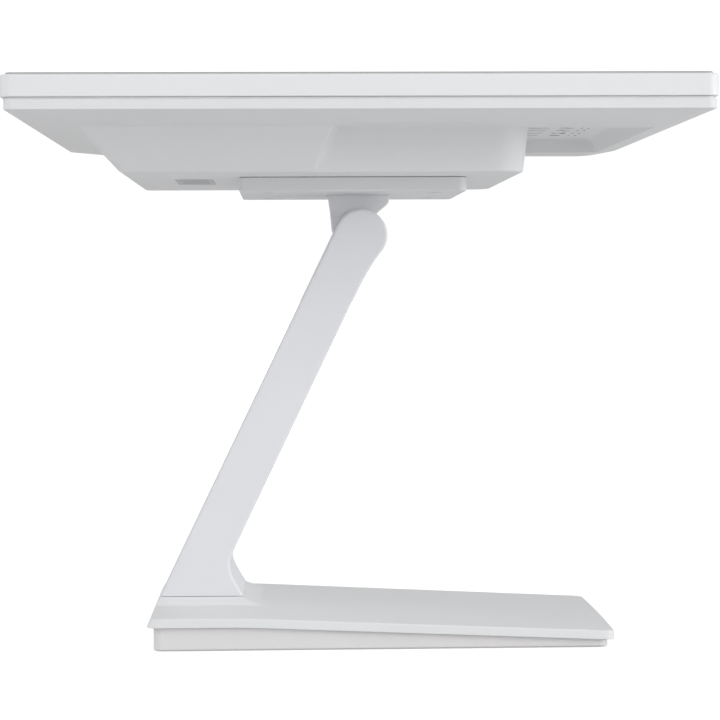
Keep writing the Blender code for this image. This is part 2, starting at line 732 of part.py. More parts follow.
def make_mount_plate():
    low, high = PLATE_Z
    # (inset, z) up the plate's edge
    profile = ((0.6, low), (0.15, low + 0.15), (0.0, low + 0.6), (0.0, high - 0.4), (0.4, high))
    pad = block(-50.0, 50.0, -34.0, 58.0, high - 1.0, high + 0.4)
    flange_pocket = block(-FLANGE_HALF_X - GAP, FLANGE_HALF_X + GAP,
                          FLANGE_Y[0] - GAP, FLANGE_Y[1] + GAP, FLANGE_Z[0] - GAP, 210.0)
    tongue_window = block(-TONGUE_HALF_X - GAP, TONGUE_HALF_X + GAP, -6.8, 22.2, 201.0, 207.0)
    screw_hole = ((4.1, 201.0), (4.1, 205.1), (2.3, 205.1), (2.3, 210.0))
    piece("mount_plate", loft([plate_ring(inset, z) for inset, z in profile]), "plate", HEAD, [
        ("add", pad),
        ("cut", flange_pocket),
        ("cut", tongue_window),
        ("cut", turned_at(MOUNT_POINTS, screw_hole, 12)),
    ])


def make_mount_screws():
    profile = ((3.8, 202.75), (3.8, 204.8), (1.95, 204.8), (1.95, 221.5))
    screws("mount_screw", MOUNT_POINTS, profile, (1.5, 202.0, 204.0), HEAD)


def on_hinge(profile, segments=24, joined=False):
    """A solid turned about the hinge's axis, from (radius, x) pairs."""
    return turned("X", HINGE_Y, HINGE_Z, profile, segments, joined)


def tube_profile(outer, low, high):
    """A tube's section round the shaft."""
    return ((SLEEVE_R, low), (outer, low), (outer, high), (SLEEVE_R, high))


def make_hinge_bracket():
    """A tongue round the shaft, hanging from a flange in the mount plate."""
    knuckle_r = 10.5
    angles = [math.radians(degrees) for degrees in range(-220, -29, 10)]
    knuckle = [(HINGE_Y + knuckle_r * math.cos(angle), HINGE_Z + knuckle_r * math.sin(angle))
               for angle in angles]
    # (y, z) down the front, round the knuckle and up the rear
    outline = ([(-6.3, 206.0), (-6.0, 198.7), (-0.5, 194.0)] + knuckle
               + [(20.1, 186.6), (21.7, 206.0)])
    piece("hinge_bracket", prism("X", outline, -TONGUE_HALF_X, TONGUE_HALF_X), "bracket", HEAD, [
        ("add", block(-FLANGE_HALF_X, FLANGE_HALF_X, *FLANGE_Y, *FLANGE_Z)),
        ("cut", on_hinge(((SLEEVE_R, -20.0), (SLEEVE_R, 20.0)))),
    ])


def make_hinge_shaft():
    end_r = SHAFT_R - 0.5
    profile = ((end_r, -31.0), (SHAFT_R, -30.5), (SHAFT_R, 30.0), (end_r, 30.5))
    piece("hinge_shaft", on_hinge(profile), "steel", HEAD)


def make_hinge_springs():
    profile = ((SLEEVE_R, 21.6), (5.6, 21.6), (6.2, 22.7), (5.6, 23.9),
               (6.2, 25.0), (5.6, 26.2), (SLEEVE_R, 26.2))
    piece("hinge_springs", on_hinge(profile, 16, joined=True), "steel", HEAD)


def make_hinge_nut():
    piece("hinge_nut", on_hinge(tube_profile(6.3, 26.5, 30.4), 6, joined=True), "steel", HEAD,
          [("cut", on_hinge(((SLEEVE_R, 26.0), (SLEEVE_R, 31.0)), 20))])


def make_hinge_bushes():
    for side, low, high in (("left", -30.8, -10.9), ("right", 10.9, 21.2)):
        bush = on_hinge(tube_profile(BUSH_R, low, high), joined=True)
        piece(f"hinge_bush_{side}", bush, "bronze", STAND)


def make_hinge_cap():
    profile = ((BUSH_R, 31.2), (BUSH_R, ARM_HALF_X - 0.4), (BUSH_R - 0.3, ARM_HALF_X - 0.1))
    piece("hinge_cap", on_hinge(profile), "arm", STAND)


# ---------------------------------------------------------------- arm

# Directions in (y, z)
DOWN = Vector((math.sin(ARM_LEAN), -math.cos(ARM_LEAN)))     # along the arm, towards the foot
BACK = Vector((math.cos(ARM_LEAN), math.sin(ARM_LEAN)))      # out of the arm's back face
HINGE = Vector((HINGE_Y, HINGE_Z))


def on_arm(along, out):
    """A point so far down the arm from the hinge, and out from its back face."""
    point = HINGE + DOWN * along + BACK * (ARM_HEAD_R + out)
    return (point.x, point.y)


def arm_bar(along0, along1, out0, out1, x0, x1):
    """A block square to the arm's back face."""
    outline = [on_arm(along0, out0), on_arm(along0, out1),
               on_arm(along1, out1), on_arm(along1, out0)]
    return prism("X", outline, x0, x1)


def back_y(z):
    """Where the back face's plane is at height z."""
    along = (HINGE_Z + BACK.y * ARM_HEAD_R - z) / math.cos(ARM_LEAN)
    return HINGE_Y + BACK.x * ARM_HEAD_R + along * math.sin(ARM_LEAN)


def arm_outline():
    """The arm from the side: back face, round head, neck, front face and flare at the foot."""
    points = [(back_y(ARM_FOOT_Z), ARM_FOOT_Z)]
    points += [on_arm(along, 0.0) for along in (150.0, 100.0, 50.0, 22.0)]
    first, last, steps = math.degrees(ARM_LEAN), 220.0, 30
    for k in range(steps + 1):
        angle = math.radians(first + (last - first) * k / steps)
        points.append((HINGE_Y + ARM_HEAD_R * math.cos(angle),
                       HINGE_Z + ARM_HEAD_R * math.sin(angle)))
    neck_handle = 9.0
    neck_start = points[-1]
    neck_end = on_arm(33.0, -ARM_THICK)
    leave = Vector((-math.sin(math.radians(last)), math.cos(math.radians(last))))
    points += bezier(
        neck_start, tuple(Vector(neck_start) + leave * neck_handle),
        tuple(Vector(neck_end) - DOWN * neck_handle), neck_end, 8)
    points.append(neck_end)
    points += [on_arm(along, -ARM_THICK) for along in (70.0, 110.0, 154.0)]
    flare_handle = 9.5
    flare_start = points[-1]
    foot = (PEDESTAL_FRONT_Y, ARM_FOOT_Z)
    meet = Vector((-0.50, -0.866))     # the flare's direction where it reaches the foot
    points += bezier(
        flare_start, tuple(Vector(flare_start) + DOWN * flare_handle),
        tuple(Vector(foot) - meet * flare_handle), foot, 10)
    points.append(foot)
    return points


def shrink(outline, inset):
    """The arm's outline moved inwards; the two points at its foot keep their height."""
    foot_middle_y = 80.0               # anywhere between those two points
    moved = []
    for i, point in enumerate(outline):
        here = Vector(point)
        arriving = (here - Vector(outline[i - 1])).normalized()
        leaving = (Vector(outline[(i + 1) % len(outline)]) - here).normalized()
        if abs(here.y - ARM_FOOT_Z) < 1e-6:
            side = leaving if abs(arriving.y) < 1e-6 else arriving
            shift = math.copysign(inset / abs(side.y), here.x - foot_middle_y)
            moved.append((here.x - shift, here.y))
        else:
            both = arriving + leaving
            normal = Vector((-both.y, both.x)).normalized()
            across = max(normal.dot(Vector((-arriving.y, arriving.x))), 0.5)
            inner = here + normal * (inset / across)
            moved.append((inner.x, inner.y))
    return moved


def arm_body():
    """The side view carried across X, with rounded edges."""
    outline = arm_outline()
    rings = []
    for k in range(4):
        angle = math.radians(90.0 * k / 3.0)
        inset = ARM_EDGE_R * (1.0 - math.sin(angle))
        x = -ARM_HALF_X + ARM_EDGE_R * (1.0 - math.cos(angle))
        rings.append(place("X", shrink(outline, inset), x))
    return loft(rings + [[(-x, y, z) for x, y, z in ring] for ring in reversed(rings)])


def make_arm():
    slot = rod("X", HINGE_Y, HINGE_Z, SLOT_R, -SLOT_HALF_X, SLOT_HALF_X, 40)
    bores = together(
        on_hinge(((BORE_R, -31.4), (BORE_R, -9.0))),
        on_hinge(((BORE_R, 9.0), (BORE_R, 40.0))),
    )
    channel = prism("X", [
        on_arm(CHANNEL_TOP, 3.0),
        on_arm(CHANNEL_TOP, -CHANNEL_DEPTH),
        on_arm(CHANNEL_END - 12.0, -CHANNEL_DEPTH),
        on_arm(CHANNEL_END, -CHANNEL_DEPTH + 7.0),
        on_arm(CHANNEL_END, 3.0),
    ], -CHANNEL_HALF_X, CHANNEL_HALF_X)
    bolt_holes = rods_at(ARM_BOLTS, 2.8, 18.0, 30.5, 12)
    piece("arm", arm_body(), "arm", STAND,
          [("cut", slot), ("cut", bores), ("cut", channel), ("cut", bolt_holes)],
          sharp_angle=25.0)


def make_arm_rear_cover():
    lid = arm_bar(CHANNEL_TOP + GAP, CHANNEL_END - GAP, 0.0, -2.5,
                  -CHANNEL_HALF_X + GAP, CHANNEL_HALF_X - GAP)
    clips = together(*(
        arm_bar(along, along + 12.0, -2.0, -9.0, x, x + 1.6)
        for along in (40.0, 92.0, 140.0) for x in (-28.0, 26.4)
    ))
    cable_exit = arm_bar(CHANNEL_END - 8.0, CHANNEL_END + 2.0, 1.0, -4.0, -9.0, 9.0)
    piece("arm_rear_cover", lid, "arm", STAND, [("add", clips), ("cut", cable_exit)])


def make_arm_bolts():
    profile = ((4.2, 4.2), (4.2, 7.7), (2.4, 7.7), (2.4, 29.4))
    screws("arm_bolt", ARM_BOLTS, profile, (2.0, 3.0, 6.0), STAND)


# ---------------------------------------------------------------- base

def lip_top(y):
    """The lip's top edge: level at the back, then falling evenly to the front."""
    if y >= LIP_BREAK_Y:
        return LIP_REAR_Z
    fall = (LIP_BREAK_Y - y) * (LIP_REAR_Z - LIP_FRONT_Z) / (LIP_BREAK_Y + BASE_HALF_Y)
    return LIP_REAR_Z - fall


def half_width(y):
    widening = BASE_REAR_HALF_X - BASE_FRONT_HALF_X
    return BASE_FRONT_HALF_X + widening * (y + BASE_HALF_Y) / (2.0 * BASE_HALF_Y)


def crown(y):
    """How far the top rises over the lip along the base's middle."""
    t = min(max((y + BASE_HALF_Y) / CROWN_RUN, 0.0), 1.0)
    return CROWN_FRONT + (CROWN_REAR - CROWN_FRONT) * t * t * (3.0 - 2.0 * t)


def top_z(x, y):
    """The crowned top of the base cover."""
    across = min(abs(x) / half_width(y), 1.0)
    return lip_top(y) + crown(y) * (1.0 - across * across)


def under_top(stations, reach, drop, floor):
    """A loft along Y below the crowned top.

    reach(y) is its half width, floor(y) its underside, and drop lowers its top.
    """
    rings = []
    for y in stations:
        half = reach(y)
        xs = [half * (1.0 - 2.0 * k / 16.0) for k in range(17)]
        top = [(x, top_z(x, y) - drop) for x in xs]
        rings.append(place("Y", [(-half, floor(y)), (half, floor(y))] + top, y))
    return loft(rings)


def plan(z, inset, radius, leaning):
    """The base's footprint. A leaning back edge follows the arm's back face."""
    front = -BASE_HALF_Y + inset
    rear = (back_y(z) if leaning else TRAY_REAR_Y) - inset
    front_half = half_width(front) - inset
    rear_half = half_width(rear) - inset
    corners = [(-front_half, front), (front_half, front), (rear_half, rear), (-rear_half, rear)]
    return place("Z", rounded(corners, radius, 5), z)


def footprint(low, high, inset, radius, leaning=False):
    return loft([plan(z, inset, radius, leaning) for z in (low, high)])


def pedestal_ring(z):
    out = (PEDESTAL_TOP_Z - z) * PEDESTAL_SPREAD
    outline = rect(-ARM_HALF_X - out, ARM_HALF_X + out, PEDESTAL_FRONT_Y - out, 116.0)
    return place("Z", outline, z)


def make_base_top_cover():
    outer_stations = (-108.0, -80.0, -50.0, -20.0, 10.0, 35.0, LIP_BREAK_Y, 80.0, 110.0)
    pocket_stations = (-97.0, -70.0, -40.0, -10.0, 20.0, LIP_BREAK_Y, 80.0, 96.0)
    top = under_top(outer_stations, lambda y: 82.0, 0.0, lambda y: lip_top(y) - LIP_THICK)
    pocket = under_top(pocket_stations, lambda y: half_width(y) - 5.5, COVER_SKIN, lambda y: -2.0)
    seat = block(-38.0, 38.0, 60.0, 95.2, 11.6, 15.9)
    bosses = together(*(rod("Z", x, y, 3.4, 3.9, top_z(x, y) - 1.4, 14) for x, y in BASE_SCREWS))
    holes = together(
        *(rod("Z", x, y, 1.7, 3.0, top_z(x, y) - 2.4, 10) for x, y in BASE_SCREWS),
        rods_at(ARM_BOLTS, 2.9, 9.0, 24.0, 12),
    )
    piece("base_top_cover", top, "base", STAND, [
        ("add", loft([pedestal_ring(15.2), pedestal_ring(PEDESTAL_TOP_Z)])),
        ("keep", footprint(0.0, 30.0, 0.0, BASE_CORNER_R, leaning=True)),
        ("cut", pocket),
        ("add", seat),
        ("add", bosses),
        ("cut", holes),
    ])


def wedge(bottom, rise):
    """An oversize wedge whose top is parallel to the lip's underside, raised by rise."""
    end = 110.0
    top = [(y, lip_top(y) - LIP_THICK + rise) for y in (end, LIP_BREAK_Y, -end)]
    return prism("X", [(-end, bottom), (end, bottom)] + top, -90.0, 90.0)


def make_base_tray():
    screw_hole = ((3.4, -1.0), (3.4, 2.4), (1.7, 2.4), (1.7, 5.0))
    piece("base_tray", wedge(TRAY_BOTTOM_Z, -GAP), "tray", STAND, [
        ("keep", footprint(-1.0, 20.0, TRAY_INSET, 4.0)),
        ("cut", footprint(TRAY_FLOOR_Z, 20.0, TRAY_INSET + 2.6, 2.0)),
        ("cut", rods_at(FEET, FOOT_R + GAP, -1.0, 2.0, 24)),
        ("cut", turned_at(BASE_SCREWS, screw_hole, 12)),
    ])


def make_base_weight():
    bolt_hole = ((4.6, 2.0), (4.6, 8.0), (2.9, 8.0), (2.9, 14.0))
    piece("base_weight", wedge(TRAY_FLOOR_Z + GAP, 0.7), "steel", STAND, [
        ("keep", footprint(0.0, 20.0, TRAY_INSET + 4.2, 3.0)),
        ("cut", rods_at(BASE_SCREWS, 4.2, 2.0, 14.0, 14)),
        ("cut", turned_at(ARM_BOLTS, bolt_hole, 14)),
    ])


def make_rubber_feet():
    profile = ((FOOT_R - 0.6, 0.0), (FOOT_R, 0.6), (FOOT_R, 1.7))
    for number, (x, y) in enumerate(FEET, 1):
        piece(f"rubber_foot_{number}", turned("Z", x, y, profile, 24), "rubber", STAND)


def make_base_screws():
    profile = ((3.0, 0.8), (3.0, 2.1), (1.3, 2.1), (1.3, 6.4))
    screws("base_screw", BASE_SCREWS, profile, (1.0, 0.0, 1.5), STAND, segments=10)


# ---------------------------------------------------------------- build

make_touch_glass()
make_lcd_panel()
make_front_bezel()
make_rear_cover()
make_cover_screws()

make_chassis_plate()
make_mainboard()
make_cpu_heatsink()
make_small_boards()
make_speakers()
make_display_ribbon()
for port_name in SQUARE_PORTS:
    make_square_port(port_name)
make_round_ports()
make_button_board()
make_status_led_lens()
make_power_button()

make_mount_plate()
make_mount_screws()
make_hinge_bracket()
make_hinge_shaft()
make_hinge_springs()
make_hinge_nut()
make_hinge_bushes()
make_hinge_cap()

make_arm()
make_arm_rear_cover()
make_arm_bolts()

make_base_top_cover()
make_base_tray()
make_base_weight()
make_rubber_feet()
make_base_screws()
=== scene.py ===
"""A POS touchscreen terminal: a flat head, glass upwards, hinged on a leaning arm that stands on a base.

Shapes are in millimetres in the drawing frame: X runs across, the front faces -Y, Z is up and Y zero is
the middle of the base. They move to the row frame, in metres, when a shown mesh is made.
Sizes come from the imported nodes' boxes wherever a box gives them.
"""

import json
import math
import bmesh
import bpy
from mathutils import Matrix, Vector

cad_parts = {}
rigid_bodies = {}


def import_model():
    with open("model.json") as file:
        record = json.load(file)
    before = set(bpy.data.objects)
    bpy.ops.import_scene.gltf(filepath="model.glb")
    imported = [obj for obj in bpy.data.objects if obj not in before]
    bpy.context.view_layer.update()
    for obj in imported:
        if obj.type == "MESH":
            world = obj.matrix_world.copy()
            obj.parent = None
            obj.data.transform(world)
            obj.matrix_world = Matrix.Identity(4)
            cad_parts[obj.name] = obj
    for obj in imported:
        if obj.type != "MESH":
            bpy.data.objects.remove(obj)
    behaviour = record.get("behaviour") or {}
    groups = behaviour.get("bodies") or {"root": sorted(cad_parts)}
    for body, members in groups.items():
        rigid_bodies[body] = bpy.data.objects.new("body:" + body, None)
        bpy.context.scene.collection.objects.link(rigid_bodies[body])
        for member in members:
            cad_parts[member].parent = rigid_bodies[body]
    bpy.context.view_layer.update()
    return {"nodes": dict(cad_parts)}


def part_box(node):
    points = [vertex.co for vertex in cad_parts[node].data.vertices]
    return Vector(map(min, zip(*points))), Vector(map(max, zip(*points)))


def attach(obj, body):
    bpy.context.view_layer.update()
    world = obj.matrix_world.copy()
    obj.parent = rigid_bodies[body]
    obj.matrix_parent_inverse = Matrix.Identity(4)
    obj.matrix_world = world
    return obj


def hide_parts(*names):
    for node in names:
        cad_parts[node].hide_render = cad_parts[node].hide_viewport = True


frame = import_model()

# ------------------------------------------------------------------ sizes shared between sections

BASE_HALF_Y = 103.5
ORIGIN_Y = -BASE_HALF_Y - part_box("base_top_cover")[0].y * 1000.0


def span(node):
    """A node's box in drawing millimetres: (x0, x1), (y0, y1), (z0, z1)."""
    low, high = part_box(node)
    shift = (0.0, ORIGIN_Y, 0.0)
    return tuple((low[k] * 1000.0 + shift[k], high[k] * 1000.0 + shift[k]) for k in range(3))


BEZEL, GLASS, COVER, PLATE = map(span, ("front_bezel", "touch_glass", "rear_cover", "mount_plate"))
ARM, LID, TRAY, SHAFT = map(span, ("arm", "arm_rear_cover", "base_tray", "hinge_shaft"))
LCD, BUTTON, LED = map(span, ("lcd_panel", "power_button", "status_led_lens"))

HEAD_HALF_X = BEZEL[0][1]
HEAD_FRONT_Y, HEAD_REAR_Y = BEZEL[1]
HEAD_CORNER_R = 5.0
BEZEL_BOTTOM_Z, BEZEL_TOP_Z = BEZEL[2][0] + 0.25, BEZEL[2][1]
COVER_SCREWS = ((-118.0, -122.0), (118.0, -122.0), (-118.0, 145.0), (118.0, 145.0))
MOUNT_SCREWS = [(x, y) for x in (-37.5, 37.5) for y in (-25.5, 49.5)]

HINGE_Y, HINGE_Z = sum(SHAFT[1]) / 2.0, sum(SHAFT[2]) / 2.0
HINGE_CENTRE = (HINGE_Y, HINGE_Z)
TONGUE_HALF_X = 10.0
ARM_HALF_X, ARM_FOOT_Z = ARM[0][1], ARM[2][0]
ARM_BOLTS = [(x, y) for x in (-20.0, 20.0) for y in (72.5, 88.0)]
PEDESTAL_FRONT_Y = 61.4


# ------------------------------------------------------------------ outlines

def rounded(corners, radius, segments):
    """A closed outline whose corners become arcs."""
    outline = []
    for i, corner in enumerate(corners):
        before, here = Vector(corners[i - 1]), Vector(corner)
        after = Vector(corners[(i + 1) % len(corners)])
        to_before, to_after = (before - here).normalized(), (after - here).normalized()
        half = to_before.angle(to_after) / 2.0
        centre = here + (to_before + to_after).normalized() * (radius / math.sin(half))
        start = here + to_before * (radius / math.tan(half)) - centre
        end = here + to_after * (radius / math.tan(half)) - centre
        first = math.atan2(start.y, start.x)
        turn = (math.atan2(end.y, end.x) - first + math.pi) % (2.0 * math.pi) - math.pi
        for k in range(segments + 1):
            angle = first + turn * k / segments
            outline.append((centre.x + radius * math.cos(angle),
                            centre.y + radius * math.sin(angle)))
    return outline


def divided(outline, longest):
    """The outline with its long edges cut into even lengths."""
    points = []
    for i, p in enumerate(outline):
        q = outline[(i + 1) % len(outline)]
        steps = max(1, math.ceil(math.dist(p, q) / longest))
        points += [(p[0] + (q[0] - p[0]) * k / steps, p[1] + (q[1] - p[1]) * k / steps)
                   for k in range(steps)]
    return points


def rect(x0, x1, y0, y1):
    return [(x0, y0), (x1, y0), (x1, y1), (x0, y1)]


def around(x, y, half_x, half_y):
    """The four sides (x0, x1, y0, y1) of a rectangle about a centre."""
    return x - half_x, x + half_x, y - half_y, y + half_y


def circle(centre, radius, segments):
    angles = [2.0 * math.pi * k / segments for k in range(segments)]
    return [(centre[0] + radius * math.cos(a), centre[1] + radius * math.sin(a)) for a in angles]


def bezier(p0, p1, p2, p3, steps):
    """The inner points of a cubic curve, without its two ends."""
    points = []
    for k in range(1, steps):
        t = k / steps
        s = 1.0 - t
        points.append(tuple(
            s ** 3 * a + 3 * s * s * t * b + 3 * s * t * t * c + t ** 3 * d
            for a, b, c, d in zip(p0, p1, p2, p3)))
    return points


def between(ends, share):
    return ends[0] + (ends[1] - ends[0]) * share


def place(axis, outline, at):
    """Stands a flat outline across an axis."""
    if axis == "X":
        return [(at, a, b) for a, b in outline]
    if axis == "Y":
        return [(a, at, b) for a, b in outline]
    return [(a, b, at) for a, b in outline]


def rect_ring(axis, sides, inset, radius, segments, at):
    a0, a1, b0, b1 = sides
    corners = rect(a0 + inset, a1 - inset, b0 + inset, b1 - inset)
    return place(axis, rounded(corners, radius, segments), at)


def low_rim(at, radius, steps):
    """(inset, place) pairs of a quarter circle that turns from a solid's low end into its wall."""
    angles = [math.radians(90.0 * k / steps) for k in range(steps + 1)]
    return [(radius * (1.0 - math.sin(a)), at + radius * (1.0 - math.cos(a))) for a in angles]


def high_rim(at, radius, steps):
    """The same from a solid's wall into its high end."""
    return [(inset, at - height) for inset, height in reversed(low_rim(0.0, radius, steps))]


def offset(profile, start):
    """A profile of (size, place) pairs moved along its axis."""
    return [(size, start + at) for size, at in profile]


# ------------------------------------------------------------------ solids: (vertices, faces)

def bands(rings, count):
    n, m = len(rings[0]), len(rings)
    verts = [p for ring in rings for p in ring]
    faces = [(i * n + j, i * n + (j + 1) % n, (i + 1) % m * n + (j + 1) % n, (i + 1) % m * n + j)
             for i in range(count) for j in range(n)]
    return verts, faces


def loft(rings):
    """A closed solid through rings of equal length, with flat ends."""
    verts, faces = bands(rings, len(rings) - 1)
    n = len(rings[0])
    faces.append(tuple(reversed(range(n))))
    faces.append(tuple((len(rings) - 1) * n + j for j in range(n)))
    return verts, faces


def hoop(rings):
    """A closed band whose last ring joins its first."""
    return bands(rings, len(rings))


def prism(axis, outline, start, end):
    return loft([place(axis, outline, start), place(axis, outline, end)])


def block(x0, x1, y0, y1, z0, z1):
    return prism("Z", rect(x0, x1, y0, y1), z0, z1)


def stepped(axis, sides, radius, segments, profile):
    """A rounded rectangle drawn through (inset, place) pairs. A negative inset flares it."""
    return loft([rect_ring(axis, sides, inset, max(radius - inset, 0.02), segments, at)
                 for inset, at in profile])


def soft_block(x0, x1, y0, y1, z0, z1, radius, axis="Z", segments=3):
    """A block with rounded edges along the axis, which is Y or Z, and rounded rims."""
    if axis == "Y":
        y0, y1, z0, z1 = z0, z1, y0, y1
    profile = low_rim(z0, radius, segments) + high_rim(z1, radius, segments)
    return stepped(axis, (x0, x1, y0, y1), radius * 1.2, segments, profile)


def rod(axis, centre, radius, start, end, segments):
    return prism(axis, circle(centre, radius, segments), start, end)


def turned(axis, centre, profile, segments):
    """A turned solid through (radius, place) pairs."""
    return loft([place(axis, circle(centre, r, segments), at) for r, at in profile])


def turned_ring(axis, centre, profile, segments):
    return hoop([place(axis, circle(centre, r, segments), at) for r, at in profile])


def together(*solids):
    verts, faces = [], []
    for v, f in solids:
        start = len(verts)
        verts += v
        faces += [tuple(start + i for i in face) for face in f]
    return verts, faces


def tidy(mesh, merge, shortest, flatten=False):
    """Merges close vertices and turns the faces outwards. Flatten also splits bent faces."""
    bm = bmesh.new()
    bm.from_mesh(mesh)
    bmesh.ops.remove_doubles(bm, verts=bm.verts, dist=merge)
    bmesh.ops.dissolve_degenerate(bm, edges=bm.edges, dist=shortest)
    if flatten:
        bmesh.ops.connect_verts_nonplanar(bm, angle_limit=0.0004, faces=bm.faces)
    bmesh.ops.recalc_face_normals(bm, faces=bm.faces)
    bm.to_mesh(mesh)
    bm.free()


def add_object(name, data):
    obj = bpy.data.objects.new(name, data)
    bpy.context.scene.collection.objects.link(obj)
    return obj


def scratch_object(name, solid):
    """A passing object in drawing millimetres for the Boolean steps."""
    mesh = bpy.data.meshes.new(name)
    mesh.from_pydata([tuple(v) for v in solid[0]], [], solid[1])
    tidy(mesh, merge=1e-4, shortest=1e-5, flatten=True)
    return add_object(name, mesh)


def carved(solid, steps):
    """The solid after Boolean steps: a list of ("cut" or "add", tool)."""
    scratch = [scratch_object("scratch", solid)]
    for kind, tool in steps:
        cutter = scratch_object("scratch_tool", tool)
        scratch.append(cutter)
        modifier = scratch[0].modifiers.new(kind, "BOOLEAN")
        modifier.operation = {"cut": "DIFFERENCE", "add": "UNION"}[kind]
        modifier.solver = "EXACT"
        modifier.object = cutter
    bpy.context.view_layer.update()
    result = scratch[0].evaluated_get(bpy.context.evaluated_depsgraph_get())
    mesh = result.to_mesh()
    solid = [tuple(v.co) for v in mesh.vertices], [tuple(p.vertices) for p in mesh.polygons]
    result.to_mesh_clear()
    for obj in scratch:
        mesh = obj.data
        bpy.data.objects.remove(obj)
        bpy.data.meshes.remove(mesh)
    return solid


def to_row(p):
    return (p[0] * 0.001, (p[1] - ORIGIN_Y) * 0.001, p[2] * 0.001)


def piece(name, parts, body, slot, node=None, materials=None, sharp=30.0):
    """A shown piece. parts is one solid, or a list of (solid, material number).

    Without materials, it takes the slot's own. Edges steeper than sharp degrees stay sharp.
    """
    if not isinstance(parts, list):
        parts = [(parts, 0)]
    verts, faces, looks = [], [], []
    for solid, look in parts:
        start = len(verts)
        verts += [to_row(p) for p in solid[0]]
        faces += [tuple(start + i for i in face) for face in solid[1]]
        looks += [look] * len(solid[1])
    mesh = bpy.data.meshes.new(name)
    mesh.from_pydata(verts, [], faces)
    for material in materials or [MATERIALS[slot]]:
        mesh.materials.append(material)
    mesh.polygons.foreach_set("material_index", looks)
    tidy(mesh, merge=2e-7, shortest=1e-7)
    mesh.shade_smooth()
    mesh.set_sharp_from_angle(angle=math.radians(sharp))
    obj = add_object(name, mesh)
    weighted = obj.modifiers.new("even_shading", "WEIGHTED_NORMAL")
    weighted.keep_sharp = True
    weighted.weight = 60
    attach(obj, body)
    if node is not None:
        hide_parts(node)


# ------------------------------------------------------------------ materials

class Graph:
    """A short way to write shader nodes. Patterns are measured in metres on the piece itself."""

    def __init__(self, owner, coordinates="Object"):
        owner.use_nodes = True
        self.owner = owner
        self.tree = owner.node_tree
        self.place = self.node("ShaderNodeTexCoord").outputs[coordinates]

    def plug(self, socket, value):
        """Links a socket, or sets it to a number or a colour."""
        if hasattr(value, "is_output"):
            self.tree.links.new(value, socket)
        elif isinstance(value, tuple) and len(value) == 3 and socket.type == "RGBA":
            socket.default_value = (*value, 1.0)
        else:
            socket.default_value = value

    def finish(self, **inputs):
        """Fills the surface shader's inputs and gives the material."""
        shader = self.tree.nodes["Principled BSDF"]
        for name, value in inputs.items():
            self.plug(shader.inputs[name.replace("_", " ")], value)
        return self.owner

    def node(self, kind, **settings):
        made = self.tree.nodes.new(kind)
        for name, value in settings.items():
            setattr(made, name, value)
        return made

    def stretched(self, factors):
        """The piece's coordinates, scaled along each axis if factors are given."""
        if factors is None:
            return self.place
        made = self.node("ShaderNodeVectorMath", operation="MULTIPLY")
        self.plug(made.inputs[0], self.place)
        made.inputs[1].default_value = factors
        return made.outputs[0]

    def noise(self, scale, detail=2.0, roughness=0.5, distortion=0.0, stretch=None):
        source = self.stretched(stretch)
        made = self.node("ShaderNodeTexNoise")
        self.plug(made.inputs["Vector"], source)
        made.inputs["Scale"].default_value = scale
        made.inputs["Detail"].default_value = detail
        made.inputs["Roughness"].default_value = roughness
        made.inputs["Distortion"].default_value = distortion
        return made.outputs[0]

    def cells(self, scale):
        made = self.node("ShaderNodeTexVoronoi")
        self.plug(made.inputs["Vector"], self.place)
        made.inputs["Scale"].default_value = scale
        return made.outputs["Distance"]

    def wave(self, scale, bands="X", distortion=0.0, stretch=None, profile="SIN"):
        source = self.stretched(stretch)
        made = self.node("ShaderNodeTexWave", bands_direction=bands, wave_profile=profile)
        self.plug(made.inputs["Vector"], source)
        made.inputs["Scale"].default_value = scale
        made.inputs["Distortion"].default_value = distortion
        return made.outputs["Fac"]

    def remap(self, value, within, to=(0.0, 1.0)):
        made = self.node("ShaderNodeMapRange", clamp=True)
        self.plug(made.inputs["Value"], value)
        for name, limit in zip(("From Min", "From Max", "To Min", "To Max"), (*within, *to)):
            self.plug(made.inputs[name], limit)
        return made.outputs["Result"]

    def math(self, operation, a, b=0.0, clamp=False):
        made = self.node("ShaderNodeMath", operation=operation, use_clamp=clamp)
        self.plug(made.inputs[0], a)
        self.plug(made.inputs[1], b)
        return made.outputs[0]

    def mix_node(self, data_type, socket_type, factor, a, b):
        made = self.node("ShaderNodeMix", data_type=data_type, clamp_factor=True)
        self.plug(made.inputs["Factor"], factor)
        for name, value in (("A", a), ("B", b)):
            self.plug(next(s for s in made.inputs if s.name == name and s.type == socket_type), value)
        return next(s for s in made.outputs if s.type == socket_type)

    def mix(self, factor, a, b):
        """From colour a to colour b."""
        return self.mix_node("RGBA", "RGBA", factor, a, b)

    def blend(self, factor, a, b):
        """From number a to number b."""
        return self.mix_node("FLOAT", "VALUE", factor, a, b)

    def bump(self, height, strength, distance, under=None):
        made = self.node("ShaderNodeBump")
        made.inputs["Strength"].default_value = strength
        made.inputs["Distance"].default_value = distance
        self.plug(made.inputs["Height"], height)
        if under is not None:
            self.plug(made.inputs["Normal"], under)
        return made.outputs["Normal"]

    def edges(self, radius):
        """1 on edges sharper than the radius, 0 on flat faces."""
        soft = self.node("ShaderNodeBevel", samples=4)
        soft.inputs["Radius"].default_value = radius
        flat = self.node("ShaderNodeNewGeometry")
        dot = self.node("ShaderNodeVectorMath", operation="DOT_PRODUCT")
        self.plug(dot.inputs[0], soft.outputs["Normal"])
        self.plug(dot.inputs[1], flat.outputs["Normal"])
        return self.remap(dot.outputs["Value"], within=(0.995, 0.86))

    def axis(self, which, source=None):
        made = self.node("ShaderNodeSeparateXYZ")
        self.plug(made.inputs[0], source or self.place)
        return made.outputs[which]


def material_graph(name):
    return Graph(bpy.data.materials.new(name))


def shade(colour, by):
    return tuple(min(c * by, 1.0) for c in colour)


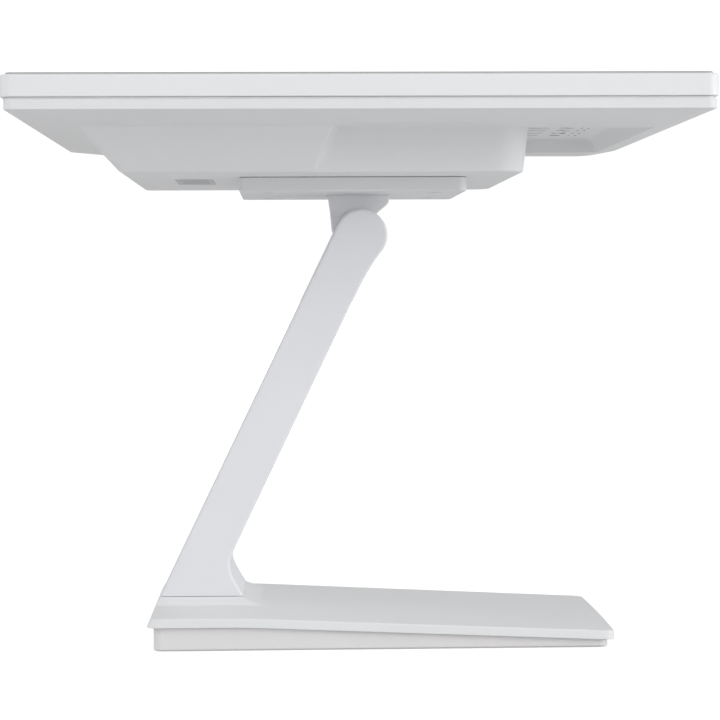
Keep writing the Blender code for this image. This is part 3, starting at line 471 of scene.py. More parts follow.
def moulded(name, colour, rough, grain, relief):
    """Moulded plastic: fine grain and pores, faint flow shading, smudges, and worn edges that are
    glossier and painted lighter as a highlight.
    """
    g = material_graph(name)
    flow = g.noise(scale=9.0, detail=3.0, roughness=0.55, distortion=0.6)
    mottle = g.noise(scale=140.0, detail=3.0, roughness=0.6)
    fine = g.noise(scale=grain, roughness=0.6)
    pores = g.cells(scale=grain * 0.55)
    smudge = g.noise(scale=28.0, detail=5.0, roughness=0.65, distortion=1.4)
    base = g.mix(g.remap(flow, within=(0.35, 0.65)), shade(colour, by=0.988), shade(colour, by=1.0072))
    base = g.mix(g.remap(mottle, within=(0.40, 0.62), to=(0.0, 0.35)), base, shade(colour, by=0.988))
    base = g.mix(g.remap(pores, within=(0.0, 0.32), to=(0.22, 0.0)), base, shade(colour, by=0.955))
    rubbed_and_lit = g.remap(g.noise(scale=260.0, detail=3.0, roughness=0.7), within=(0.38, 0.62), to=(0.25, 1.0))
    wear_and_highlight = 0.5
    # Painted highlight where worn: edges are lightened in colour in patches. Their lower roughness below
    # is real polish.
    edge = g.math("MULTIPLY", g.math("MULTIPLY", g.edges(radius=0.0007), rubbed_and_lit), wear_and_highlight)
    base = g.mix(edge, base, shade(colour, by=1.035))
    roughness = g.remap(smudge, within=(0.36, 0.70), to=(rough + 0.035, rough - 0.055))
    roughness = g.math("ADD", roughness, g.remap(fine, within=(0.3, 0.7), to=(-0.035, 0.035)))
    roughness = g.math("SUBTRACT", roughness, g.math("MULTIPLY", edge, 0.16), clamp=True)
    height = g.math("ADD", g.math("MULTIPLY", fine, 0.7), g.math("MULTIPLY", pores, 0.5))
    normal = g.bump(height, strength=relief, distance=0.00005)
    normal = g.bump(g.noise(scale=55.0), strength=0.05, distance=0.0006, under=normal)
    return g.finish(Base_Color=base, Roughness=roughness, Normal=normal, Specular_IOR_Level=0.46)


def painted(name, colour, rough):
    """Powder-coated metal: orange peel, fine flecks, and edges worn slightly glossier and painted lighter
    as a highlight.
    """
    g = material_graph(name)
    drift = g.noise(scale=12.0, detail=3.0, distortion=0.4)
    peel = g.noise(scale=620.0, roughness=0.45, distortion=0.3)
    fine = g.noise(scale=3400.0, detail=1.0)
    base = g.mix(g.remap(drift, within=(0.36, 0.64)), shade(colour, by=0.988), shade(colour, by=1.008))
    base = g.mix(g.remap(fine, within=(0.60, 0.74), to=(0.0, 0.35)), base, shade(colour, by=0.94))
    rubbed_and_lit = g.remap(g.noise(scale=330.0, detail=4.0, roughness=0.7), within=(0.42, 0.60), to=(0.1, 0.8))
    # Painted highlight: edges are lightened in colour in patches. The lower roughness on them is real
    # rubbing.
    edge = g.math("MULTIPLY", g.edges(radius=0.0006), rubbed_and_lit)
    base = g.mix(edge, base, shade(colour, by=1.03))
    smudge = g.noise(scale=24.0, detail=5.0, roughness=0.65, distortion=1.2)
    roughness = g.remap(peel, within=(0.3, 0.7), to=(rough - 0.05, rough + 0.05))
    roughness = g.math("ADD", roughness, g.remap(smudge, within=(0.35, 0.7), to=(0.03, -0.05)))
    roughness = g.math("SUBTRACT", roughness, g.math("MULTIPLY", edge, 0.12), clamp=True)
    normal = g.bump(peel, strength=0.16, distance=0.00012)
    normal = g.bump(fine, strength=0.05, distance=0.00003, under=normal)
    return g.finish(Base_Color=base, Roughness=roughness, Normal=normal, Specular_IOR_Level=0.5)


def metal(name, colour, rough, direction, grain, stain=0.05):
    """Machined or plated metal with directional grain, faint handling stains and a painted highlight on
    its edges.
    """
    g = material_graph(name)
    brushed = g.noise(scale=grain, detail=4.0, roughness=0.7, stretch=direction)
    cloud = g.noise(scale=60.0, detail=4.0, roughness=0.6, distortion=0.8)
    base = g.mix(g.remap(brushed, within=(0.3, 0.7)), shade(colour, by=0.90), shade(colour, by=1.06))
    stained = g.remap(cloud, within=(0.5, 0.75), to=(0.0, stain * 6.0))
    base = g.mix(stained, base, shade(colour, by=0.80))
    # Painted highlight: edges are lightened in colour like a glint.
    base = g.mix(g.math("MULTIPLY", g.edges(radius=0.0004), 0.4), base, shade(colour, by=1.15))
    roughness = g.remap(brushed, within=(0.3, 0.7), to=(rough - 0.07, rough + 0.09))
    clouded = g.remap(cloud, within=(0.4, 0.7), to=(0.0, 0.08))
    roughness = g.math("ADD", roughness, clouded, clamp=True)
    normal = g.bump(brushed, strength=0.12, distance=0.00004)
    return g.finish(Base_Color=base, Roughness=roughness, Metallic=1.0, Normal=normal)


def dark_plastic(name, colour, rough):
    """Dark moulded plastic with a cloudy sheen, and a painted highlight that lightens its edges."""
    g = material_graph(name)
    fine = g.noise(scale=1800.0, roughness=0.6)
    cloud = g.noise(scale=70.0, detail=4.0, roughness=0.6, distortion=0.9)
    base = g.mix(g.remap(cloud, within=(0.35, 0.65)), shade(colour, by=0.85), shade(colour, by=1.25))
    # Painted highlight: the colour that edges are lightened towards.
    edge_highlight_colour = tuple(c + 0.05 for c in colour)
    base = g.mix(g.math("MULTIPLY", g.edges(radius=0.0004), 0.5), base, edge_highlight_colour)
    roughness = g.remap(cloud, within=(0.35, 0.7), to=(rough + 0.05, rough - 0.07))
    grain = g.remap(fine, within=(0.3, 0.7), to=(-0.04, 0.04))
    roughness = g.math("ADD", roughness, grain, clamp=True)
    normal = g.bump(fine, strength=0.22, distance=0.00006)
    return g.finish(Base_Color=base, Roughness=roughness, Normal=normal)


def rubber(name):
    """Moulded rubber with a matt bloom and dust in its grain."""
    g = material_graph(name)
    fine = g.noise(scale=1500.0, detail=3.0, roughness=0.65)
    bloom = g.noise(scale=90.0, detail=5.0, roughness=0.65, distortion=1.0)
    black, faded, dust = (0.028, 0.028, 0.029), (0.060, 0.060, 0.060), (0.16, 0.155, 0.15)
    base = g.mix(g.remap(bloom, within=(0.4, 0.7)), black, faded)
    base = g.mix(g.remap(fine, within=(0.62, 0.75), to=(0.0, 0.5)), base, dust)
    roughness = g.remap(bloom, within=(0.35, 0.7), to=(0.78, 0.92))
    normal = g.bump(fine, strength=0.35, distance=0.00012)
    return g.finish(Base_Color=base, Roughness=roughness, Normal=normal)


def board(name):
    """Soldermask with copper runs beneath it and pale vias."""
    g = material_graph(name)
    runs = g.wave(scale=130.0, distortion=2.2, stretch=(1.0, 0.35, 1.0), profile="TRI")
    across = g.wave(scale=90.0, bands="Y", distortion=3.0, stretch=(0.3, 1.0, 1.0), profile="TRI")
    gate = g.remap(g.noise(scale=38.0, detail=1.0), within=(0.47, 0.53))
    trace = g.remap(g.blend(gate, runs, across), within=(0.56, 0.62))
    mask, covered_copper, solder = (0.010, 0.075, 0.030), (0.022, 0.135, 0.055), (0.62, 0.60, 0.52)
    base = g.mix(trace, mask, covered_copper)
    via = g.remap(g.cells(scale=420.0), within=(0.10, 0.14), to=(1.0, 0.0))
    patches = g.remap(g.noise(scale=55.0), within=(0.5, 0.55))
    base = g.mix(g.math("MULTIPLY", via, patches), base, solder)
    roughness = g.remap(g.noise(scale=200.0, detail=3.0), within=(0.3, 0.7), to=(0.28, 0.46))
    normal = g.bump(trace, strength=0.3, distance=0.00004)
    return g.finish(Base_Color=base, Roughness=roughness, Normal=normal)


def ribbon(name):
    """A flat cable: even conductors under amber film."""
    g = material_graph(name)
    lines = g.wave(scale=320.0)
    amber, conductor = (0.60, 0.44, 0.22), (0.76, 0.72, 0.60)
    base = g.mix(g.remap(lines, within=(0.35, 0.65)), amber, conductor)
    roughness = g.remap(g.noise(scale=150.0, detail=3.0), within=(0.3, 0.7), to=(0.26, 0.40))
    normal = g.bump(lines, strength=0.3, distance=0.00008)
    return g.finish(Base_Color=base, Roughness=roughness, Normal=normal)


def touch_surface(name):
    """Dark glass: a printed border, the unlit panel behind the middle, and faint finger smears."""
    border_x, border_y = 9.0, 10.7  # from the display module's sides to the visible panel, in mm
    half_x = (LCD[0][1] - border_x) * 0.001
    half_y = ((LCD[1][1] - LCD[1][0]) / 2.0 - border_y) * 0.001
    middle_y = (sum(LCD[1]) / 2.0 - ORIGIN_Y) * 0.001
    fade = 0.0006
    g = material_graph(name)
    x = g.math("ABSOLUTE", g.axis("X"))
    y = g.math("ABSOLUTE", g.math("SUBTRACT", g.axis("Y"), middle_y))
    inside = g.math("MULTIPLY", g.remap(x, within=(half_x, half_x - fade)),
                    g.remap(y, within=(half_y, half_y - fade)))
    weave = g.math("MULTIPLY", g.wave(scale=1500.0), g.wave(scale=1500.0, bands="Y"))
    panel = g.mix(weave, (0.0150, 0.0165, 0.0185), (0.0230, 0.0245, 0.0270))
    cloud = g.remap(g.noise(scale=5.0), within=(0.35, 0.65), to=(0.0, 0.5))
    panel = g.mix(cloud, panel, (0.0150, 0.0170, 0.0200))
    speckle = g.remap(g.noise(scale=2600.0, detail=1.0), within=(0.4, 0.6))
    border = g.mix(speckle, (0.0060, 0.0068, 0.0066), (0.0085, 0.0096, 0.0092))
    upright = g.axis("Z", g.node("ShaderNodeTexCoord").outputs["Normal"])
    rim = g.remap(g.math("ABSOLUTE", upright), within=(0.80, 0.45))
    base = g.mix(rim, g.mix(inside, border, panel), (0.540, 0.535, 0.515))
    smear = g.noise(scale=17.0, detail=6.0, roughness=0.68, distortion=2.4, stretch=(1.0, 1.7, 1.0))
    polish = g.remap(g.noise(scale=900.0), within=(0.3, 0.7), to=(-0.012, 0.012))
    smeared = g.remap(smear, within=(0.46, 0.74), to=(0.055, 0.19))
    rim_roughness = 0.30
    roughness = g.blend(rim, g.math("ADD", smeared, polish, clamp=True), rim_roughness)
    normal = g.bump(g.noise(scale=2200.0, detail=1.0), strength=0.02, distance=0.00002)
    return g.finish(Base_Color=base, Roughness=roughness, Normal=normal, Specular_IOR_Level=0.5)


def lens(name):
    """Frosted light guide, unlit."""
    g = material_graph(name)
    frost = g.noise(scale=2500.0)
    base = g.mix(g.remap(frost, within=(0.35, 0.65)), (0.50, 0.66, 0.56), (0.62, 0.78, 0.68))
    roughness = g.remap(frost, within=(0.3, 0.7), to=(0.16, 0.34))
    normal = g.bump(frost, strength=0.15, distance=0.00003)
    return g.finish(Base_Color=base, Roughness=roughness, Normal=normal)


def panel_back(name):
    """The display module's brushed grey metal."""
    g = material_graph(name)
    brushed = g.noise(scale=90.0, detail=4.0, roughness=0.7, stretch=(1.0, 30.0, 1.0))
    base = g.mix(g.remap(brushed, within=(0.3, 0.7)), (0.20, 0.21, 0.22), (0.30, 0.31, 0.32))
    roughness = g.remap(brushed, within=(0.3, 0.7), to=(0.34, 0.50))
    normal = g.bump(brushed, strength=0.12, distance=0.00004)
    return g.finish(Base_Color=base, Roughness=roughness, Metallic=0.6, Normal=normal)


def moulded_set(*rows):
    """Moulded plastics by slot, from rows of slot, name, colour, roughness, grain scale, relief."""
    return {slot: moulded(name, colour, rough=rough, grain=grain, relief=relief)
            for slot, name, colour, rough, grain, relief in rows}


def metal_set(*rows):
    """Metals by slot, from rows of slot, name, colour, roughness, grain direction, grain scale."""
    return {slot: metal(name, colour, rough=rough, direction=direction, grain=grain)
            for slot, name, colour, rough, direction, grain in rows}


MATERIALS = {
    "glass": touch_surface("touch_glass_surface"),
    **moulded_set(
        ("bezel_plastic", "bezel_white", (0.830, 0.834, 0.843), 0.42, 2600.0, 0.07),
        ("cover_plastic", "cover_white", (0.797, 0.799, 0.806), 0.50, 2100.0, 0.14),
        ("arm_plastic", "arm_lid_white", (0.810, 0.816, 0.836), 0.46, 2200.0, 0.12),
        ("base_plastic", "base_white", (0.836, 0.839, 0.847), 0.44, 2400.0, 0.10),
        ("tray_plastic", "tray_white", (0.816, 0.801, 0.800), 0.52, 1900.0, 0.16)),
    **metal_set(
        ("plated_sheet", "plated_sheet_metal", (0.66, 0.67, 0.67), 0.30, (1.0, 18.0, 1.0), 160.0),
        ("steel", "screw_steel", (0.52, 0.52, 0.53), 0.28, (1.0, 1.0, 30.0), 240.0),
        ("heatsink", "heatsink_aluminium", (0.70, 0.71, 0.72), 0.30, (40.0, 1.0, 1.0), 120.0),
        ("bronze", "bush_bronze", (0.56, 0.38, 0.18), 0.32, (30.0, 1.0, 1.0), 150.0)),
    "painted_steel": painted("plate_paint", (0.780, 0.784, 0.797), rough=0.46),
    "painted_casting": painted("arm_paint", (0.815, 0.821, 0.842), rough=0.42),
    "panel": panel_back("display_module"),
    "circuit_board": board("board_green"),
    "black_plastic": dark_plastic("connector_black", (0.022, 0.022, 0.024), rough=0.44),
    "rubber": rubber("foot_rubber"),
    "light_guide": lens("light_guide_lens"),
    "ribbon": ribbon("display_ribbon_film"),
}
BLACK, PLATED = MATERIALS["black_plastic"], MATERIALS["plated_sheet"]
# A darker grey for the grille: painted shade that stands in for the dark inside behind its slots.
VENT_SHADE_GREY = moulded("vent_painted_shade", (0.56, 0.56, 0.565), rough=0.52, grain=2100.0, relief=0.14)
MARK_GREY = moulded("mark_grey", (0.47, 0.47, 0.48), rough=0.50, grain=2100.0, relief=0.10)
# A lighter copy of the plate's paint: painted light that brightens the bracket, which sits deep in shade
# under the plate.
BRACKET_PAINT_LIFTED = painted("bracket_paint_painted_light", (0.880, 0.884, 0.898), rough=0.46)
CONTACT = metal("contact_gold", (0.86, 0.66, 0.30), rough=0.22, direction=(1.0, 20.0, 1.0),
                grain=300.0, stain=0.02)
TONGUE_BLUE = dark_plastic("usb_tongue_blue", (0.020, 0.110, 0.420), rough=0.40)


# ------------------------------------------------------------------ head: glass, bezel, button

BEZEL_WALL, BEZEL_LIP = 2.6, 1.9
LEDGE_INSET, LEDGE_TOP_Z, LEDGE_BOTTOM_Z = 18.0, BEZEL_TOP_Z - 1.6, BEZEL_TOP_Z - 3.4
GLASS_INSET = HEAD_HALF_X - GLASS[0][1]
BUTTON_X, BUTTON_Z = sum(BUTTON[0]) / 2.0, sum(BUTTON[2]) / 2.0
BUTTON_HALF_X, BUTTON_HALF_Z, BUTTON_GAP = 7.15, 1.65, 0.35
LED_CENTRE = (sum(LED[0]) / 2.0, BUTTON_Z)


def head_ring(inset, z, shift=0.0):
    """The head's rounded outline, moved inwards and by shift along Y."""
    sides = (-HEAD_HALF_X, HEAD_HALF_X, HEAD_FRONT_Y + shift, HEAD_REAR_Y + shift)
    return rect_ring("Z", sides, inset, max(HEAD_CORNER_R - inset, 0.5), 14, z)


def glass_pane():
    profile = low_rim(GLASS[2][0], 0.2, 3) + high_rim(GLASS[2][1], 0.45, 8)
    return loft([head_ring(GLASS_INSET + i, z) for i, z in profile])


def bezel_shell():
    """A hoop with a lip around the glass and a ledge beneath it, bored for screws, button and lens."""
    profile = low_rim(BEZEL_BOTTOM_Z, 0.5, 5) + high_rim(BEZEL_TOP_Z, 0.9, 9)
    profile += [
        (BEZEL_LIP - 0.15, BEZEL_TOP_Z), (BEZEL_LIP, BEZEL_TOP_Z - 0.15), (BEZEL_LIP, LEDGE_TOP_Z),
        (LEDGE_INSET, LEDGE_TOP_Z), (LEDGE_INSET, LEDGE_BOTTOM_Z),
        (BEZEL_WALL, LEDGE_BOTTOM_Z), (BEZEL_WALL, BEZEL_BOTTOM_Z)]
    bosses = together(*(rod("Z", spot, 4.6, BEZEL_BOTTOM_Z - 0.5, LEDGE_BOTTOM_Z + 0.9, 24)
                        for spot in COVER_SCREWS))
    screw_hole = ((1.75, 235.0), (1.75, 241.6), (3.4, 241.6), (3.4, 246.0))
    button_sides = around(BUTTON_X, BUTTON_Z, BUTTON_HALF_X + BUTTON_GAP, BUTTON_HALF_Z + BUTTON_GAP)
    button_hole = ((-0.35, -2.0), (-0.35, -0.001), (-0.10, 0.12), (0.0, 0.35), (0.0, 5.0))
    lens_hole = ((1.8, -2.0), (1.8, -0.001), (1.6, 0.1), (1.55, 0.3), (1.55, 5.0))
    holes = together(
        *(turned("Z", spot, screw_hole, 24) for spot in COVER_SCREWS),
        stepped("Y", button_sides, 1.99, 12, offset(button_hole, HEAD_FRONT_Y)),
        turned("Y", LED_CENTRE, offset(lens_hole, HEAD_FRONT_Y), 32))
    return carved(hoop([head_ring(i, z) for i, z in profile]), [("add", bosses), ("cut", holes)])


def button_cap():
    """A slightly dished pill with a stem behind it and a small dimple in its face."""
    front, rear = BUTTON[1]
    profile = [(-(-0.30 - 0.5 * k / 3.0), front + 0.018 * (3 - k) ** 2 / 9.0) for k in (3, 2, 1)]
    profile += low_rim(front + 0.02, 0.3, 6) + [(0.0, front + 2.7)]
    sides = around(BUTTON_X, BUTTON_Z, BUTTON_HALF_X, BUTTON_HALF_Z)
    stem = block(BUTTON_X - 2.5, BUTTON_X + 2.5, front + 1.9, rear, BUTTON_Z - 1.2, BUTTON_Z + 1.2)
    dimple = rod("Y", (BUTTON_X, BUTTON_Z), 0.55, front - 1.0, front + 0.12, 20)
    return carved(stepped("Y", sides, 1.64, 12, profile), [("add", stem), ("cut", dimple)])


def status_lens():
    front, rear = LED[1]
    dome = ((0.35, 0.0), (0.7, 0.03), (1.0, 0.10), (1.15, 0.22), (1.2, 0.4))
    return turned("Y", LED_CENTRE, offset(dome, front) + [(1.2, rear)], 32)


piece("touch_glass_pane", glass_pane(), "head", "glass", "touch_glass", sharp=50.0)
piece("front_bezel_shell", bezel_shell(), "head", "bezel_plastic", "front_bezel")
piece("power_button_cap", button_cap(), "power_button", "bezel_plastic", "power_button")
piece("status_lens", status_lens(), "head", "light_guide", "status_led_lens", sharp=60.0)


# ------------------------------------------------------------------ head: rear cover

WALL = 2.5
RIM_INSET, RIM_SHIFT_Y = HEAD_HALF_X - COVER[0][1], -0.4
RIM_TOP_Z = BEZEL_BOTTOM_Z - 0.85
RIM_BOTTOM_Z = RIM_TOP_Z - 4.2
RIM_BOTTOM_R = 0.4
TONGUE_INSET, TONGUE_TOP_Z, CAVITY_INSET, REVEAL_INSET = 3.0, COVER[2][1], 4.4, 1.55

# The flat underside, and the hump below it. Pairs are at the hump's bottom and at the plane.
HUMP_BOTTOM_Z, HUMP_HEIGHT = COVER[2][0], 19.1
PLANE_Z = HUMP_BOTTOM_Z + HUMP_HEIGHT
PLANE_HALF_X = HEAD_HALF_X - 30.0
PLANE_FRONT_Y, PLANE_REAR_Y = HEAD_FRONT_Y + 17.0, HEAD_REAR_Y - 26.3
PLANE_FRONT_DROP = 0.65
HUMP_HALF_X, HUMP_SKIRT_HALF_X = (111.0, 113.5), (111.0, 131.0)
HUMP_FRONT_Y, HUMP_CREASE_Y, HUMP_REAR_Y = (-60.6, -62.7), (29.7, 20.7), (111.7, 129.2)
HUMP_CORNER_R = 13.0

BAY_HALF_X, BAY_CEILING_Z = 111.0, PLANE_Z + 6.3
BAY_FRONT_TOP_Y, BAY_FRONT_LOW_Y = -111.0, -116.6
VENT_HALF_X, VENT_Y = 34.0, (74.5, 91.8)
VENT_SIDES = (-VENT_HALF_X, VENT_HALF_X, *VENT_Y)

PORTS = {  # name: width, height
    "dc_jack": (10.0, 11.0), "cash_drawer_port": (13.4, 13.0), "serial_port": (31.0, 12.6),
    "hdmi_port": (15.2, 6.2), "usb_stack_1": (13.6, 15.6), "usb_stack_2": (13.6, 15.6),
    "lan_port": (16.0, 13.6), "audio_jack": (7.0, 7.0),
}
PORT_X = {name: sum(span(name)[0]) / 2.0 for name in PORTS}
PORT_FRONT_Y, PORT_BASE_Z = span("hdmi_port")[1][0], span("hdmi_port")[2][0]


def step_corner(half, wide, crease):
    """From the narrow wall out to the wide one at the crease, both corners rounded."""
    reach = (wide - half) * 0.48
    inner = low_rim(0.0, min(3.4, reach), 6)
    outer = low_rim(0.0, min(1.7, reach), 6)
    return ([(half + b, crease - a) for a, b in inner]
            + [(wide - a, crease + b) for a, b in outer])


def hump_ring(z, grow=0.0):
    """The hump's outline: a narrow front part, then wider side skirts behind the crease."""
    share = min((z - HUMP_BOTTOM_Z) / HUMP_RISE, 1.0)
    half = between(HUMP_HALF_X, share) + grow
    wide = max(between(HUMP_SKIRT_HALF_X, share) + grow, half + 0.02)
    front = between(HUMP_FRONT_Y, share) - grow
    crease = between(HUMP_CREASE_Y, share) - grow * 0.4
    rear = between(HUMP_REAR_Y, share) + grow
    front_corners = rounded(rect(-half, half, front, front + 60.0), HUMP_CORNER_R + grow, 20)[:42]
    rear_corners = rounded(rect(-wide, wide, crease, rear), 3.0, 8)[18:]
    step = step_corner(half, wide, crease)
    return place("Z", front_corners + step + rear_corners + [(-x, y) for x, y in reversed(step)], z)


HUMP_RISE = PLANE_Z - HUMP_BOTTOM_Z


def hump_outside():
    """A rounded bottom rim, sloping walls, then a fillet that flares into the plane."""
    rings = [hump_ring(z, -inset) for inset, z in low_rim(HUMP_BOTTOM_Z, 1.0, 7)]
    rings += [hump_ring(HUMP_BOTTOM_Z + HUMP_RISE * share) for share in (0.25, 0.5, 0.75)]
    fillet = 1.4
    for k in range(1, 7):
        a = math.radians(90.0 * k / 6.0)
        z = PLANE_Z - fillet + fillet * math.sin(a) * 0.999
        rings.append(hump_ring(z, fillet * (1.0 - math.cos(a))))
    rings.append(hump_ring(PLANE_Z + 1.6, fillet))
    return loft(rings)


def hump_inside():
    heights = (HUMP_BOTTOM_Z + WALL, PLANE_Z, TONGUE_TOP_Z + 2.0)
    return loft([hump_ring(z, -WALL) for z in heights])


def underside():
    """Rings from the flat plane to the rim's foot. The plane lies lower and bends softer in front."""
    inner = rounded(rect(-PLANE_HALF_X + 1.5, PLANE_HALF_X - 1.5,
                         PLANE_FRONT_Y + 8.0, PLANE_REAR_Y - 1.5), 5.0, 14)
    outer = head_ring(RIM_INSET + RIM_BOTTOM_R, RIM_BOTTOM_Z, RIM_SHIFT_Y)
    rings, steps = [], 16
    for k in range(steps):
        share = (k / steps) ** 1.35
        ring = []
        for (x, y), (rim_x, rim_y, _) in zip(inner, outer):
            forward = min(max((PLANE_REAR_Y - y) / (PLANE_REAR_Y - PLANE_FRONT_Y), 0.0), 1.0)
            front = min(max((-y - 60.0) / 45.0, 0.0), 1.0)
            bend = 0.14 + 0.34 * front * front
            slope = 1.0 / (1.0 - bend / 2.0)
            if share < bend:
                rise = slope * share * share / (2.0 * bend)
            else:
                rise = slope * (share - bend / 2.0)
            flat = PLANE_Z - PLANE_FRONT_DROP * forward
            ring.append((x + (rim_x - x) * share, y + (rim_y - y) * share,
                         flat + (RIM_BOTTOM_Z - flat) * rise))
        rings.append(ring)
    return rings


def cover_outside():
    """The underside, the upright rim, then the reveal and the tongue that enters the bezel."""
    rim = low_rim(RIM_BOTTOM_Z, RIM_BOTTOM_R, 4) + high_rim(RIM_TOP_Z, 0.3, 4)
    seam_z = BEZEL_BOTTOM_Z - 0.12
    tongue = ((REVEAL_INSET, RIM_TOP_Z), (REVEAL_INSET, seam_z),
              (TONGUE_INSET, seam_z), (TONGUE_INSET, TONGUE_TOP_Z))
    return loft(underside() + [head_ring(RIM_INSET + i, z, RIM_SHIFT_Y) for i, z in rim]
                + [head_ring(i, z) for i, z in tongue])


def cover_inside():
    plane_sides = (-PLANE_HALF_X, PLANE_HALF_X, PLANE_FRONT_Y, PLANE_REAR_Y)
    return loft([rect_ring("Z", plane_sides, 1.0, 6.0, 14, PLANE_Z + WALL),
                 head_ring(CAVITY_INSET, RIM_BOTTOM_Z + WALL),
                 head_ring(CAVITY_INSET, TONGUE_TOP_Z + 2.0)])


def bay_ring(z, flare):
    """The port bay's outline. Its rear side follows the hump's front wall; its front side leans."""
    lean = (BAY_FRONT_TOP_Y - BAY_FRONT_LOW_Y) / (BAY_CEILING_Z - PLANE_Z)
    front = BAY_FRONT_TOP_Y - lean * (BAY_CEILING_Z - z) - flare
    x, y = HUMP_HALF_X[1] - HUMP_CORNER_R, HUMP_FRONT_Y[1] + HUMP_CORNER_R
    last = math.acos((BAY_HALF_X - x) / HUMP_CORNER_R)
    angles = [-math.pi / 2 + (math.pi / 2 - last) * k / 12.0 for k in range(13)]
    arc = [(x + HUMP_CORNER_R * math.cos(a), y + HUMP_CORNER_R * math.sin(a)) for a in angles]
    wide = BAY_HALF_X + flare
    outline = rounded(rect(-wide, wide, front, front + 30.0), 3.0, 6)[:14]
    return place("Z", outline + list(reversed(arc)) + [(-a, b) for a, b in arc], z)


def bay_ends():
    """Solid corners where the bay's shell meets the hump."""
    return together(*(
        block(*sorted((side * (BAY_HALF_X + 2.05), side * (BAY_HALF_X - 6.5))),
              HUMP_FRONT_Y[1] - 4.0, HUMP_FRONT_Y[1] + 8.5, PLANE_Z + 1.25, BAY_CEILING_Z + 2.05)
        for side in (-1, 1)))


def bay_hollow():
    mouth = ((-4.0, 0.7), (-1.1, 0.7), (-0.9, 0.38), (-0.55, 0.1), (-0.2, 0.0))
    ceiling = ((-1.2, 0.0), (-0.55, -0.2), (-0.18, -0.55), (0.0, -1.1))
    return loft([bay_ring(PLANE_Z + z, flare) for z, flare in mouth]
                + [bay_ring(BAY_CEILING_Z + z, flare) for z, flare in ceiling])


def window(name):
    """The opening in the hump's front wall for one port, flared at its front."""
    x, (w, h) = PORT_X[name], PORTS[name]
    sides = (x - w / 2, x + w / 2, PORT_BASE_Z, PORT_BASE_Z + h)
    front = PORT_FRONT_Y
    profile = ((0.85, front - 4.0), (0.85, front - 1.2), (0.3, front - 0.4), (0.3, -55.0))
    return loft([rect_ring("Y", sides, -grow, 0.5, 4, y) for grow, y in profile])


def rear_cover():
    bay_shell = block(-BAY_HALF_X - 2.1, BAY_HALF_X + 2.1, BAY_FRONT_LOW_Y - 1.4,
                      HUMP_FRONT_Y[1] + WALL, PLANE_Z + 1.2, BAY_CEILING_Z + 2.1)
    bosses = together(*(rod("Z", spot, 4.6, 231.4, 236.0, 20) for spot in COVER_SCREWS))
    holes = together(
        *(rod("Z", spot, 1.75, 233.4, 238.0, 20) for spot in COVER_SCREWS),
        *(rod("Z", spot, 2.4, 206.0, 214.0, 20) for spot in MOUNT_SCREWS))
    vent_recess = stepped("Z", VENT_SIDES, 1.5, 6, (
        (-0.15, 207.0), (-0.15, HUMP_BOTTOM_Z), (0.0, HUMP_BOTTOM_Z + 0.15), (0.0, HUMP_BOTTOM_Z + 1.4)))
    vent_opening = loft([rect_ring("Z", VENT_SIDES, 2.0, 1.0, 5, z) for z in (207.0, 213.0)])
    return carved(cover_outside(), [
        ("add", hump_outside()),
        ("cut", cover_inside()),
        ("cut", hump_inside()),
        ("add", bay_shell),
        ("add", bay_ends()),
        ("cut", bay_hollow()),
        ("add", bosses),
        ("cut", holes),
        ("cut", together(*(window(name) for name in PORTS))),
        ("cut", vent_recess),
        ("cut", vent_opening),
    ])


def vent_grille():
    """A thin plate with a row of narrow slots."""
    x0, x1, y0, y1 = VENT_SIDES
    plate = soft_block(x0 + 0.2, x1 - 0.2, y0 + 0.2, y1 - 0.2,
                       HUMP_BOTTOM_Z + 0.1, HUMP_BOTTOM_Z + 1.3, 0.12)
    profile = ((-0.1, 207.0), (-0.1, HUMP_BOTTOM_Z + 0.1), (0.0, HUMP_BOTTOM_Z + 0.2), (0.0, 212.0))
    pitch, half_width = 2.3, 0.7
    slots = [stepped("Z", (pitch * k - half_width, pitch * k + half_width, y0 + 2.2, y1 - 2.2),
                     0.69, 5, profile) for k in range(-13, 14)]
    return carved(plate, [("cut", together(*slots))])


